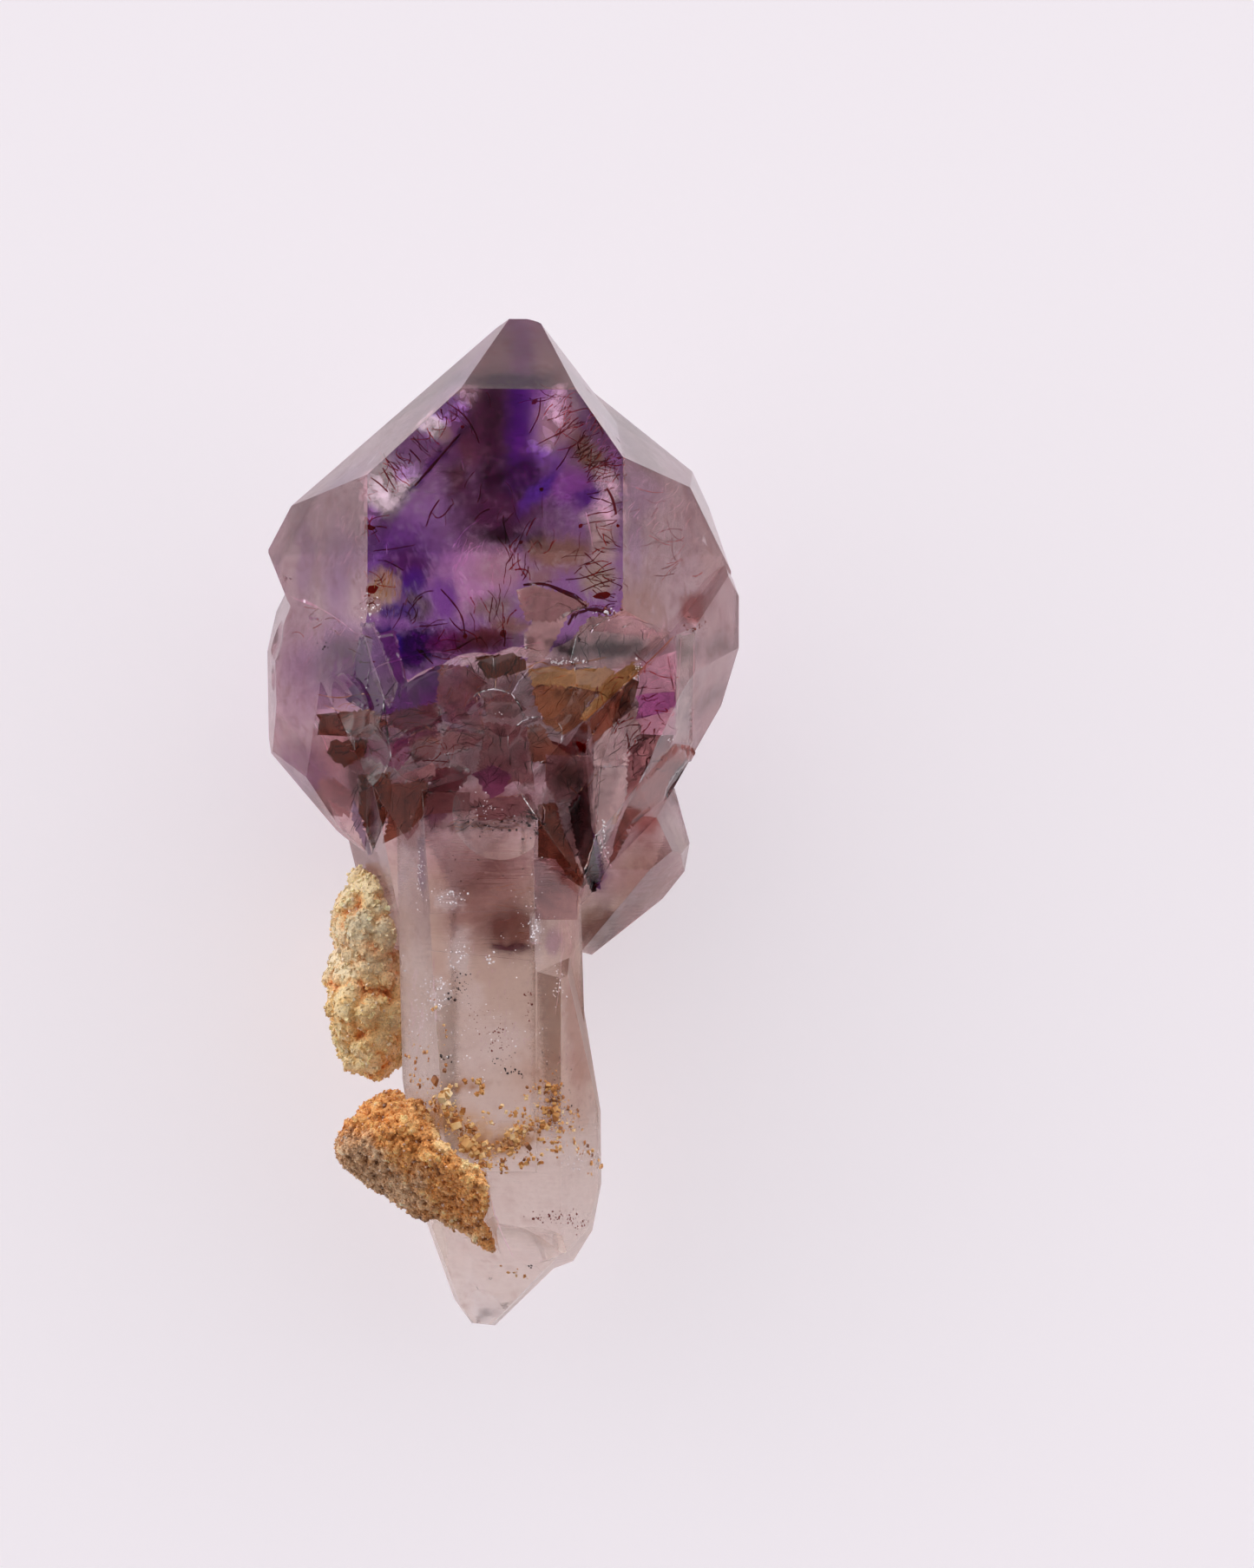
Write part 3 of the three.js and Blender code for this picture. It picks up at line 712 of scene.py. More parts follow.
def cloud(name, field, level, material):
    """The closed surface round where the field is above a level, as a piece."""
    grid = openvdb.FloatGrid(-1.0)
    edge = np.full(FIELD_SHAPE, -1.0, dtype=np.float32)
    edge[1:-1, 1:-1, 1:-1] = np.clip(field - level, -1.0, 1.0)[1:-1, 1:-1, 1:-1]
    grid.copyFromArray(edge)
    points, triangles, quads = grid.convertToPolygons(0.0, 0.02)
    points = (np.array(points) * CELL + FIELD_LOW) * MM
    data = bpy.data.meshes.new(name)
    data.from_pydata(points.tolist(), [], triangles.tolist() + quads.tolist())
    data.validate()
    data.shade_smooth()
    mesh = bmesh.new()
    mesh.from_mesh(data)
    bmesh.ops.recalc_face_normals(mesh, faces=mesh.faces)
    mesh.to_mesh(data)
    mesh.free()
    piece_of(name, data, material)


# The zones of each colour, in the terms of zone_field
VIOLET = [
    (598, 480, 15, 1.2, 4.6, 4.0, 0), (600, 525, 12, 1.6, 4.2, 4.0, 8),
    (645, 564, 12, 4.4, 1.6, 3.6, -14), (678, 578, 13, 2.2, 0.9, 3.0, 30),
    (508, 532, 16, 0.5, 3.4, 3.0, -44), (455, 650, 12, 2.8, 4.0, 4.0, 0),
    (492, 640, 12, 2.8, 2.0, 3.6, 20), (478, 690, 10, 1.6, 3.0, 4.0, 0), (480, 745, 11, 3.2, 2.0, 6.0, 8),
    (455, 735, 12, 2.0, 1.7, 5.0, -10), (395, 765, 11, 2.8, 2.2, 3.6, 10),
    (440, 800, 12, 2.5, 1.6, 4.0, 10), (352, 640, 8, 0.6, 3.6, 3.0, 0), (525, 800, 14, 1.8, 1.4, 2.0, 0),
]
LILAC = [
    (545, 670, 9, 2.8, 4.2, 3.0, 0), (395, 780, 8, 3.4, 3.2, 3.0, 0), (455, 860, 8, 3.0, 2.0, 3.0, 0),
    (735, 600, 9, 1.6, 4.4, 3.0, 0), (760, 800, 8, 1.6, 2.6, 3.0, 0), (330, 650, 7, 1.0, 3.0, 2.4, 0),
    (570, 900, 10, 2.0, 1.4, 2.4, 0), (700, 1000, 8, 0.8, 2.2, 2.0, 0), (340, 860, 8, 1.4, 3.4, 2.4, 0),
]
PLUM = [
    (564, 495, 12, 0.7, 4.0, 4.0, 0), (575, 560, 11, 3.2, 3.4, 4.6, 10), (545, 600, 10, 2.6, 2.6, 4.0, 0),
    (600, 606, 10, 3.4, 2.2, 4.0, 0), (535, 520, 9, 2.2, 1.6, 3.4, 30), (565, 742, 11, 3.2, 1.2, 5.0, 0),
    (520, 745, 8, 3.0, 1.6, 4.0, 0), (665, 748, 11, 1.6, 1.0, 3.6, 0), (715, 752, 11, 3.4, 0.9, 2.6, 0),
    (578, 772, 11, 1.5, 1.2, 3.6, 0), (460, 905, 9, 2.4, 2.4, 4.0, 30), (640, 930, 10, 1.8, 3.2, 4.0, 12),
    (668, 950, 10, 1.0, 4.2, 5.0, -8), (560, 1040, 10, 4.0, 4.2, 3.0, 0),
    (560, 860, 10, 3.6, 2.6, 4.0, 0), (790, 880, 9, 1.0, 3.0, 3.0, -42),
    (745, 1010, 7, 2.0, 3.0, 3.0, -35),
]


def zones():
    """The violet, lilac and smoky clouds, the two deeper colours with a darker inner part."""
    depth = depth_inside("quartz_scepter")
    push = np.stack([cloudy(3.2, 4) * 1.5 for _ in range(3)], axis=-1)
    ragged = cloudy(1.2, 3, (0.6, 1.5, 1.5)) * 0.36
    violet = zone_field(VIOLET, push) + ragged
    lilac = zone_field(LILAC, push[::-1]) + ragged[:, ::-1]
    plum = zone_field(PLUM, push) + ragged[::-1] * 1.1
    deep = zone_material("violet_quartz", (0.52, 0.0, 0.94), 36.0)
    pale = zone_material("lilac_quartz", (0.64, 0.0, 0.70), 20.0)
    brown = zone_material("smoky_quartz", (0.30, 0.0, 0.10), 30.0)
    # Name, field, by how much the cloud keeps further from the surface, level and material of each cloud
    for name, field, inset, level, material in (
        ("violet_zone_outer", violet, 0.0, 0.05, deep),
        ("violet_zone_inner", violet, 0.4, 0.32, deep),
        ("lilac_zone", lilac, 0.1, 0.12, pale),
        ("smoky_zone_outer", plum, 0.15, 0.06, brown),
        ("smoky_zone_inner", plum, 0.45, 0.34, brown),
    ):
        cloud(name, np.minimum(field, (depth - 0.4) * 2.0 - inset), level, material)


# Small things in and on the crystal, placed by the pixel at which they are seen

def surface_at(tree, px, py):
    """Point and normal where the line of sight through a pixel meets a piece, or None."""
    point, normal, _, _ = tree.ray_cast(CAMERA_AT, sight(px, py))
    return (point, normal) if point else None


def below(tree, px, py, depth):
    """The point that many mm inside the crystal that is seen, bent by the surface, at a pixel."""
    hit = surface_at(tree, px, py)
    if not hit:
        return None
    point, normal = hit
    way = sight(px, py)
    cosine = -way.dot(normal)
    ratio = 1 / QUARTZ_IOR
    bent = way * ratio + normal * (ratio * cosine - math.sqrt(1 - ratio ** 2 * (1 - cosine ** 2)))
    return point + bent.normalized() * depth * MM


def all_below(tree, pixels, depth):
    """The points below each of some pixels, or None where one of them misses the crystal."""
    points = [below(tree, px, py, depth) for px, py in pixels]
    return None if any(point is None for point in points) else points


# The corners of a box's six faces, for corners in the order of x, then y, then z
BOX_FACES = [(0, 1, 3, 2), (4, 6, 7, 5), (0, 4, 5, 1), (2, 3, 7, 6), (0, 2, 6, 4), (1, 5, 7, 3)]


class Gathered:
    """Many small closed shapes joined in one piece."""

    def __init__(self):
        self.points, self.faces = [], []

    def add(self, points, faces):
        start = len(self.points)
        self.points.extend(tuple(p) for p in points)
        self.faces.extend(tuple(start + i for i in f) for f in faces)

    def tube(self, line, widths, sides=4):
        """A closed tube along a line of points, with a width in metres at each."""
        rings = []
        for i, point in enumerate(line):
            ahead = (line[min(i + 1, len(line) - 1)] - line[max(i - 1, 0)]).normalized()
            side = ahead.orthogonal() if i == 0 else side - ahead * side.dot(ahead)
            side.normalize()
            third = ahead.cross(side)
            for k in range(sides):
                angle = 2 * math.pi * k / sides
                rings.append(point + (side * math.cos(angle) + third * math.sin(angle)) * widths[i] / 2)
        faces = [tuple(reversed(range(sides)))]
        for i in range(len(line) - 1):
            for k in range(sides):
                a, b = i * sides + k, i * sides + (k + 1) % sides
                faces.append((a, b, b + sides, a + sides))
        last = (len(line) - 1) * sides
        faces.append(tuple(range(last, last + sides)))
        self.add(rings, faces)

    def thread(self, line, thick):
        """A tube that thins out towards both ends."""
        steps = len(line) - 1
        self.tube(line, [thick * (0.2 + 0.8 * math.sin(math.pi * i / steps)) for i in range(steps + 1)])

    def plate(self, centre, normal, length, width, thick, turn, sides=7):
        """A thin flat flake with an uneven outline."""
        normal = normal.normalized()
        side = Vector((math.cos(turn), math.sin(turn), 0.0))
        side = (side - normal * side.dot(normal)).normalized()
        other = normal.cross(side)
        rim = []
        for k in range(sides):
            angle = 2 * math.pi * (k + rng.uniform(-0.25, 0.25)) / sides
            reach = rng.uniform(0.8, 1.1)
            across, up = math.cos(angle) * length / 2 * reach, math.sin(angle) * width / 2 * reach
            rim.append(side * across + other * up)
        low = [centre + r - normal * thick / 2 for r in rim]
        high = [centre + r + normal * thick / 2 for r in rim]
        faces = [tuple(reversed(range(sides))), tuple(range(sides, 2 * sides))]
        faces += [(k, (k + 1) % sides, sides + (k + 1) % sides, sides + k) for k in range(sides)]
        self.add(low + high, faces)

    def grain(self, centre, size, flat=None):
        """An angular grain: a box with its corners pushed about and turned, and flatter along a normal."""
        corners = np.array([(x, y, z) for x in (-1, 1) for y in (-1, 1) for z in (-1, 1)], dtype=float)
        corners *= rng.uniform(0.55, 1.1, (8, 3)) * rng.uniform(0.6, 1.2, 3) * size / 2
        turn = Matrix.Rotation(rng.uniform(0, 6.28), 3, Vector(rng.normal(size=3)).normalized())
        corners = corners @ np.array(turn).T
        if flat is not None:
            normal = np.array(flat)
            corners -= np.outer(corners @ normal, normal) * 0.45
        self.add(corners + np.array(centre), BOX_FACES)

    def piece(self, name, material, slot="quartz"):
        data = bpy.data.meshes.new(name)
        data.from_pydata(self.points, [], self.faces)
        data.validate()
        return piece_of(name, data, material)


def curve_through(points, steps=3):
    """More points on a smooth curve through the given ones."""
    ends = [points[0] * 2 - points[1]] + list(points) + [points[-1] * 2 - points[-2]]
    line = []
    for i in range(1, len(ends) - 2):
        a, b, c, d = ends[i - 1:i + 3]
        for k in range(steps):
            t = k / steps
            line.append(0.5 * (2 * b + (c - a) * t + (2 * a - 5 * b + 4 * c - d) * t * t
                               + (3 * b - a - 3 * c + d) * t ** 3))
    line.append(points[-1])
    return line


def near_pixel(px, py, across, up):
    """A pixel at random in the rectangle of given half sizes round another."""
    return px + rng.uniform(-1, 1) * across, py + rng.uniform(-1, 1) * up


# Fibres seen one by one: pixels along each, depths in mm at its two ends, width in mm
FIBRES = [
    ([(515, 464), (532, 476), (544, 491), (552, 510)], 0.4, 1.5, 0.13),
    ([(623, 458), (621, 477), (613, 494), (610, 499)], 0.4, 1.0, 0.11),
    ([(657, 492), (641, 501), (619, 512)], 0.5, 1.6, 0.12),
    ([(472, 518), (479, 525), (485, 532)], 0.3, 0.9, 0.14),
    ([(441, 539), (447, 550), (456, 565)], 0.3, 1.0, 0.12),
    ([(427, 550), (438, 558), (447, 567)], 0.3, 0.8, 0.13),
    ([(450, 532), (459, 539), (471, 555)], 0.5, 1.4, 0.10),
    ([(506, 576), (497, 590), (491, 607)], 0.8, 1.8, 0.12),
    ([(497, 590), (504, 597), (513, 592), (520, 582)], 0.8, 1.8, 0.10),
    ([(666, 606), (688, 601), (711, 599)], 1.2, 0.4, 0.07),
    ([(689, 625), (700, 624), (711, 625)], 0.8, 0.3, 0.06),
    ([(692, 630), (702, 633), (711, 632)], 0.8, 0.3, 0.06),
    ([(709, 655), (690, 660), (671, 666), (652, 668)], 0.4, 1.4, 0.13),
    ([(709, 668), (690, 673), (669, 682)], 0.4, 1.2, 0.12),
    ([(508, 679), (523, 696), (532, 711), (536, 731)], 1.0, 0.5, 0.14),
    ([(536, 731), (524, 720), (518, 712)], 0.5, 1.0, 0.10),
    ([(598, 626), (592, 638), (584, 649)], 1.0, 2.0, 0.10),
    ([(658, 513), (650, 529), (641, 541)], 0.4, 1.4, 0.12),
    ([(430, 635), (456, 632), (478, 628)], 1.0, 2.0, 0.09),
    ([(699, 562), (706, 576), (710, 593)], 0.4, 0.4, 0.20),
    ([(676, 460), (690, 478), (700, 497)], 0.3, 0.5, 0.16),
    ([(566, 470), (563, 455), (560, 452)], 0.4, 0.6, 0.08),
    ([(580, 722), (582, 735), (581, 745)], 0.4, 0.6, 0.14),
    ([(480, 748), (490, 756), (499, 765)], 0.6, 1.2, 0.12),
    ([(603, 674), (626, 673), (650, 682), (667, 692), (676, 699)], 0.3, 0.7, 0.26),
    ([(676, 699), (690, 703), (704, 707)], 0.4, 0.4, 0.34),
    ([(655, 720), (664, 708), (676, 700)], 1.0, 0.5, 0.26),
    ([(478, 560), (500, 535), (530, 500)], 1.6, 1.2, 0.22),
]
# Bands of finer fibres: from, to, half width in pixels, mean direction in degrees, count
FIBRE_BANDS = [
    ((424, 560), (470, 505), 20, -50, 24), ((470, 505), (545, 458), 16, -60, 20),
    ((640, 456), (712, 545), 20, 215, 74), ((700, 545), (708, 700), 14, 180, 40),
    ((425, 600), (425, 700), 16, 10, 14), ((600, 640), (560, 740), 26, 80, 28),
    ((520, 570), (640, 650), 40, 60, 26), ((735, 560), (800, 660), 26, 200, 22),
    ((440, 700), (530, 760), 24, 40, 20), ((745, 760), (770, 840), 18, 190, 14),
    ((335, 700), (420, 760), 26, 20, 10), ((380, 840), (500, 880), 30, 20, 30),
    ((680, 800), (740, 880), 20, 60, 24),
]
BAND_POINTS = 5


def fibre_line(tree, start, end, spread, way):
    """Points of one fibre of a band, bent at random, or fewer where it leaves the crystal."""
    along, off = rng.random(), rng.normal() * spread / 2
    px = start[0] + (end[0] - start[0]) * along + off
    py = start[1] + (end[1] - start[1]) * along + rng.normal() * spread / 3
    angle = math.radians(way + rng.normal() * 26)
    bend = rng.normal() * 0.16
    length, depth = rng.uniform(9, 34), rng.uniform(0.15, 1.6)
    points = []
    for _ in range(BAND_POINTS):
        point = below(tree, px, py, depth)
        if point is None:
            break
        points.append(point)
        px += math.cos(angle) * length / (BAND_POINTS - 1)
        py -= math.sin(angle) * length / (BAND_POINTS - 1)
        angle += bend + rng.normal() * 0.2
        depth += rng.uniform(-0.15, 0.3)
    return points


def fibres(tree):
    """Dark red needles of iron oxide inside the crystal."""
    dark, red = Gathered(), Gathered()
    for pixels, start, end, width in FIBRES:
        points = [below(tree, px, py, start + (end - start) * i / (len(pixels) - 1))
                  for i, (px, py) in enumerate(pixels)]
        line = curve_through(points, 4)
        widths = [width * MM * (0.35 + 0.65 * math.sin(math.pi * (0.15 + 0.75 * i / len(line))))
                  * rng.uniform(0.7, 1.2) for i in range(len(line))]
        dark.tube(line, widths, 5)
    for start, end, spread, way, count in FIBRE_BANDS:
        for _ in range(count):
            points = fibre_line(tree, start, end, spread, way)
            if len(points) == BAND_POINTS:
                width = rng.uniform(0.04, 0.125) * MM
                into = red if rng.random() < 0.35 else dark
                line = curve_through(points)
                into.tube(line, [width * rng.uniform(0.5, 1.2) for _ in line])
    dark.piece("dark_fibres", plain_material("dark_fibre", rgb(140, 30, 38)))
    red.piece("red_fibres", plain_material("red_fibre", rgb(196, 44, 38), 0.45))


# Pale threads that glow as painted highlights, where growth lines, rims of breaks and cracks catch the light:
# pixels, width in mm, warmth
THREADS = [
    ([(424, 778), (440, 766), (470, 758), (500, 751), (540, 757), (560, 753), (590, 753), (603, 744),
        (626, 740)], 0.10, 0),
    ([(505, 776), (530, 768), (540, 772), (552, 781), (562, 787)], 0.08, 0),
    ([(608, 770), (622, 763), (640, 768), (668, 764), (700, 757)], 0.16, 1),
    ([(608, 768), (620, 776), (632, 774)], 0.14, 1),
    ([(777, 733), (740, 770), (705, 802), (673, 831)], 0.14, 1),
    ([(772, 741), (738, 776), (700, 808), (668, 834)], 0.08, 1),
    ([(417, 721), (430, 765), (444, 808)], 0.07, 0), ([(429, 718), (443, 756), (457, 793)], 0.06, 0),
    ([(334, 687), (350, 694), (372, 703), (392, 716), (410, 730)], 0.10, 0),
    ([(345, 690), (356, 695), (366, 700)], 0.26, 0), ([(785, 733), (782, 790), (779, 852)], 0.10, 0),
    ([(800, 733), (799, 790), (797, 852)], 0.06, 0),
    ([(480, 668), (540, 666), (600, 669), (660, 667)], 0.04, 0),
    ([(675, 590), (680, 612), (683, 630)], 0.12, 0), ([(521, 632), (535, 612), (552, 599)], 0.12, 0),
    ([(532, 530), (534, 541)], 0.10, 0), ([(540, 680), (541, 692), (546, 700)], 0.12, 0),
    ([(445, 625), (446, 640)], 0.10, 0), ([(676, 829), (683, 845), (680, 862)], 0.12, 1),
    ([(655, 905), (668, 915), (680, 903), (688, 890)], 0.16, 1),
    ([(365, 800), (390, 804), (420, 800), (450, 806)], 0.10, 1),
    ([(372, 812), (400, 822), (425, 818)], 0.06, 1), ([(360, 830), (372, 850), (378, 866)], 0.10, 0),
    ([(470, 912), (490, 902), (520, 893)], 0.12, 0),
    ([(545, 800), (552, 820), (560, 845), (572, 862)], 0.05, 1),
    ([(668, 705), (655, 730), (643, 755)], 0.08, 0), ([(692, 960), (697, 985), (705, 1000)], 0.14, 0),
    ([(540, 955), (575, 948), (610, 955)], 0.05, 1), ([(500, 1090), (500, 1130), (502, 1180)], 0.07, 0),
    ([(648, 1060), (646, 1120), (640, 1170)], 0.05, 0),
    ([(556, 1345), (562, 1372), (570, 1400), (580, 1425), (592, 1450)], 0.10, 0),
]
# Patches of fine strokes: px, py, across and up in pixels, direction, length in pixels, count, width in mm,
# warmth
STROKES = [
    (442, 672, 12, 16, 80, 20, 26, 0.05, 1), (545, 640, 26, 16, 62, 14, 26, 0.05, 0),
    (590, 648, 26, 20, 110, 14, 22, 0.05, 0), (700, 545, 12, 30, 50, 12, 40, 0.05, 0),
    (578, 771, 20, 6, 90, 26, 22, 0.05, 1), (715, 728, 50, 8, 82, 20, 26, 0.04, 0),
    (528, 800, 26, 30, 70, 14, 22, 0.04, 1), (585, 800, 60, 30, 60, 10, 36, 0.04, 1),
    (640, 800, 34, 34, 20, 12, 34, 0.06, 1), (440, 825, 60, 16, 10, 14, 40, 0.05, 1),
    (460, 870, 30, 30, 30, 12, 26, 0.05, 1), (565, 950, 44, 10, 0, 12, 30, 0.05, 1),
    (600, 1050, 36, 40, 0, 24, 34, 0.035, 1), (640, 690, 40, 20, 20, 10, 26, 0.04, 0),
    (700, 705, 20, 8, 10, 8, 22, 0.06, 0), (450, 690, 22, 20, 70, 10, 30, 0.06, 1),
    (760, 590, 34, 44, 60, 16, 44, 0.03, 0), (390, 620, 26, 40, 70, 14, 40, 0.03, 0),
    (760, 800, 14, 34, 10, 12, 18, 0.04, 0), (715, 860, 12, 50, 80, 12, 26, 0.05, 0),
    (640, 470, 20, 12, 60, 10, 16, 0.04, 0), (690, 500, 18, 30, 45, 12, 40, 0.06, 1),
    (380, 740, 30, 26, 60, 18, 26, 0.04, 0), (450, 1060, 16, 40, 88, 24, 20, 0.04, 0),
    (655, 1150, 14, 90, 88, 30, 26, 0.04, 0), (575, 1160, 40, 70, 80, 10, 40, 0.04, 0),
    (480, 1180, 8, 60, 88, 30, 16, 0.05, 0),
]
# Depths in mm below the surface
THREAD_DEPTH, CRACK_DEPTH, RIM_DEPTH = 0.12, 0.08, 0.05
# Tallest stroke in mm: what rises more would stick out of the crystal
STROKE_RISE = 1.2
# Dark cracks in the break: px, py, across and up in pixels, mean direction in degrees, count
DARK_STROKES = [
    (570, 770, 34, 14, 84, 34), (530, 840, 34, 24, 12, 34), (440, 840, 60, 24, 20, 40),
    (430, 930, 26, 40, 60, 36), (480, 925, 26, 30, 50, 24), (640, 830, 34, 40, 50, 30),
    (665, 920, 24, 60, 70, 50), (570, 940, 50, 14, 0, 40), (715, 830, 30, 40, 50, 24),
    (760, 880, 30, 20, 40, 20), (590, 870, 30, 30, 80, 26), (700, 745, 50, 14, 80, 26),
]
# Places of a crack's points along it, from -1 to 1
CRACK_STEPS = (-1.0, -0.4, 0.3, 1.0)
# Each side of a facet draws a number from 0 to 1: up to these it gets a pale rim, a warm one or a dark one
COOL_RIMS, WARM_RIMS, DARK_RIMS = 0.12, 0.30, 0.72


def highlight_lines(tree, cool, warm):
    """The threads that are placed one by one, each just under the surface, pale or warm and glowing as
    painted highlights.
    """
    for pixels, width, warmth in THREADS:
        along = curve_through([Vector((px, py, 0.0)) for px, py in pixels], 6)
        line = all_below(tree, [(p.x, p.y) for p in along], THREAD_DEPTH)
        if line:
            widths = [width * MM * rng.uniform(0.25, 1.25) for _ in line]
            widths[0] = widths[-1] = width * MM * 0.1
            (warm if warmth else cool).tube(line, widths)


def strokes(tree, cool, warm):
    """Patches of fine pale and warm strokes at different depths, which glow as painted light."""
    for px, py, across, up, way, length, count, width, warmth in STROKES:
        for _ in range(count):
            x, y = near_pixel(px, py, across, up)
            angle = math.radians(way + rng.normal() * 12)
            reach, depth = length * rng.uniform(0.4, 1.3) / 2, rng.uniform(0.1, 1.2)
            step = (math.cos(angle) * reach, -math.sin(angle) * reach)
            bend = rng.normal() * 1.2
            pixels = [(x - step[0], y - step[1]), (x + bend, y + bend), (x + step[0], y + step[1])]
            points = all_below(tree, pixels, depth)
            if not points or max(p.z for p in points) - min(p.z for p in points) > STROKE_RISE * MM:
                continue
            line = curve_through(points)
            thick = width * MM * rng.uniform(0.5, 1.3)
            into = warm if warmth and rng.random() < 0.7 else cool
            into.tube(line, [thick * 0.3] + [thick] * (len(line) - 2) + [thick * 0.3])


def cracks(tree, shadow):
    """Short dark cracks in the break."""
    for px, py, across, up, way, count in DARK_STROKES:
        for _ in range(count):
            x, y = near_pixel(px, py, across, up)
            angle, reach = math.radians(way + rng.normal() * 30), rng.uniform(4, 13)
            step = (math.cos(angle) * reach, -math.sin(angle) * reach)
            pixels = [(x + step[0] * t + rng.normal(), y + step[1] * t + rng.normal()) for t in CRACK_STEPS]
            points = all_below(tree, pixels, CRACK_DEPTH)
            if points:
                shadow.thread(curve_through(points), rng.uniform(0.025, 0.075) * MM)


def rims(tree, cool, warm, shadow):
    """Thin lines along parts of the sides of the break's facets: the pale and warm ones glow as painted
    highlights, the others are dark.
    """
    for _, outline in FACETS:
        for a, b in sides_of(outline):
            a, b, pick = np.array(a), np.array(b), rng.random()
            start, end = sorted(rng.uniform(0.0, 1.0, 2))
            steps = [start + (end - start) * i / 4 for i in range(5)]
            points = all_below(tree, [a + (b - a) * t + rng.normal(size=2) * 0.7 for t in steps], RIM_DEPTH)
            if pick > DARK_RIMS or end - start < 0.3 or not points:
                continue
            into = shadow if pick > WARM_RIMS else warm if pick > COOL_RIMS else cool
            into.thread(curve_through(points), rng.uniform(0.03, 0.085) * MM)


def threads(tree):
    cool, warm, shadow = Gathered(), Gathered(), Gathered()
    highlight_lines(tree, cool, warm)
    strokes(tree, cool, warm)
    cracks(tree, shadow)
    rims(tree, cool, warm, shadow)
    shadow.piece("dark_rims", plain_material("dark_rim", rgb(52, 28, 32)))
    # The pale and warm threads glow as painted highlights.
    cool.piece("pale_threads", plain_material("pale_thread", rgb(236, 214, 228), 0.4, 0.30, 0.75))
    warm.piece("warm_threads", plain_material("warm_thread", rgb(214, 172, 130), 0.4, 0.26, 0.75))


# Flat red flakes: px, py, depth, length, width, turn in degrees
FLAKES = [
    (694, 686, 0.5, 1.10, 0.42, 12), (427, 608, 0.4, 0.62, 0.34, -20), (429, 679, 0.4, 0.66, 0.48, 20),
    (580, 730, 0.6, 0.42, 0.62, 0), (624, 564, 0.8, 0.26, 0.22, 0), (616, 463, 1.0, 0.40, 0.30, 30),
    (669, 606, 0.9, 0.30, 0.22, 40), (536, 733, 0.5, 0.26, 0.30, 0), (712, 606, 0.4, 0.24, 0.18, 0),
    (600, 625, 1.2, 0.34, 0.20, 30), (486, 752, 1.0, 0.30, 0.50, 60), (533, 492, 0.9, 0.24, 0.20, 0),
]


def flakes(tree):
    plates = Gathered()
    for px, py, depth, length, width, turn in FLAKES:
        centre = below(tree, px, py, depth)
        lean = Vector((rng.normal() * 0.15, rng.normal() * 0.15, 1.0))
        plates.plate(centre, lean, length * 1.25 * MM, width * 1.25 * MM, 0.04 * MM, math.radians(turn))
    plates.piece("red_flakes", plain_material("red_flake", rgb(176, 18, 8), 0.25))


# Milky veils inside the window: px, py, spread across and up in pixels, count, size in mm
VEILS = [
    (446, 568, 12, 12, 22, 1.2), (468, 545, 8, 8, 12, 0.9), (497, 485, 9, 7, 20, 0.9),
    (545, 456, 6, 4, 6, 0.6), (640, 476, 7, 15, 18, 1.0), (694, 588, 7, 9, 18, 0.9),
    (704, 556, 4, 9, 8, 0.7), (430, 604, 4, 10, 6, 0.6), (626, 516, 8, 7, 8, 0.8),
    (524, 474, 9, 9, 8, 0.8), (542, 676, 8, 12, 8, 0.7), (430, 690, 6, 6, 6, 0.6),
]


def veils(tree):
    """Thin, faint sheets that lie over each other where the crystal is milky, with a strong glow that is
    painted light for what they scatter.
    """
    plates = Gathered()
    for px, py, across, up, count, size in VEILS:
        for _ in range(count):
            centre = below(tree, px + rng.normal() * across, py + rng.normal() * up, rng.uniform(0.8, 2.2))
            lean = Vector((rng.normal() * 0.25, rng.normal() * 0.25, 1.0))
            length, width = size * rng.uniform(0.6, 1.5) * MM, size * rng.uniform(0.3, 0.9) * MM
            plates.plate(centre, lean, length, width, 0.02 * MM, rng.uniform(0, math.pi), 9)
    plates.piece("milky_veils", plain_material("milky_veil", rgb(226, 204, 218), 0.4, 0.85, 0.09))


# Specks: px, py, spread across and up in pixels, count, smallest and largest size in mm
BLACK_SPECKS = [
    (515, 1222, 6, 4, 5, 0.08, 0.22), (595, 1235, 9, 6, 16, 0.05, 0.16),
    (575, 1220, 12, 6, 8, 0.05, 0.12), (533, 1135, 10, 12, 26, 0.05, 0.15),
    (520, 1148, 5, 5, 6, 0.10, 0.20), (640, 1225, 26, 30, 30, 0.04, 0.10),
    (660, 1280, 20, 26, 26, 0.04, 0.11), (611, 1460, 5, 2, 8, 0.06, 0.15),
    (565, 1474, 3, 2, 4, 0.05, 0.12), (550, 1483, 2, 3, 2, 0.05, 0.10), (585, 950, 36, 8, 40, 0.06, 0.22),
    (620, 955, 10, 12, 18, 0.06, 0.20), (540, 1000, 60, 60, 26, 0.04, 0.12),
    (640, 1010, 20, 40, 22, 0.04, 0.11), (372, 745, 4, 6, 5, 0.10, 0.24),
    (650, 560, 60, 80, 40, 0.03, 0.08),
]
RED_SPECKS = [
    (610, 1150, 4, 22, 16, 0.05, 0.14), (560, 1170, 26, 30, 34, 0.04, 0.11),
    (572, 1198, 12, 16, 40, 0.05, 0.13), (642, 1402, 24, 5, 46, 0.05, 0.17),
    (668, 1408, 10, 8, 26, 0.05, 0.16), (800, 720, 16, 10, 26, 0.06, 0.18),
    (700, 706, 14, 5, 20, 0.06, 0.20),
]
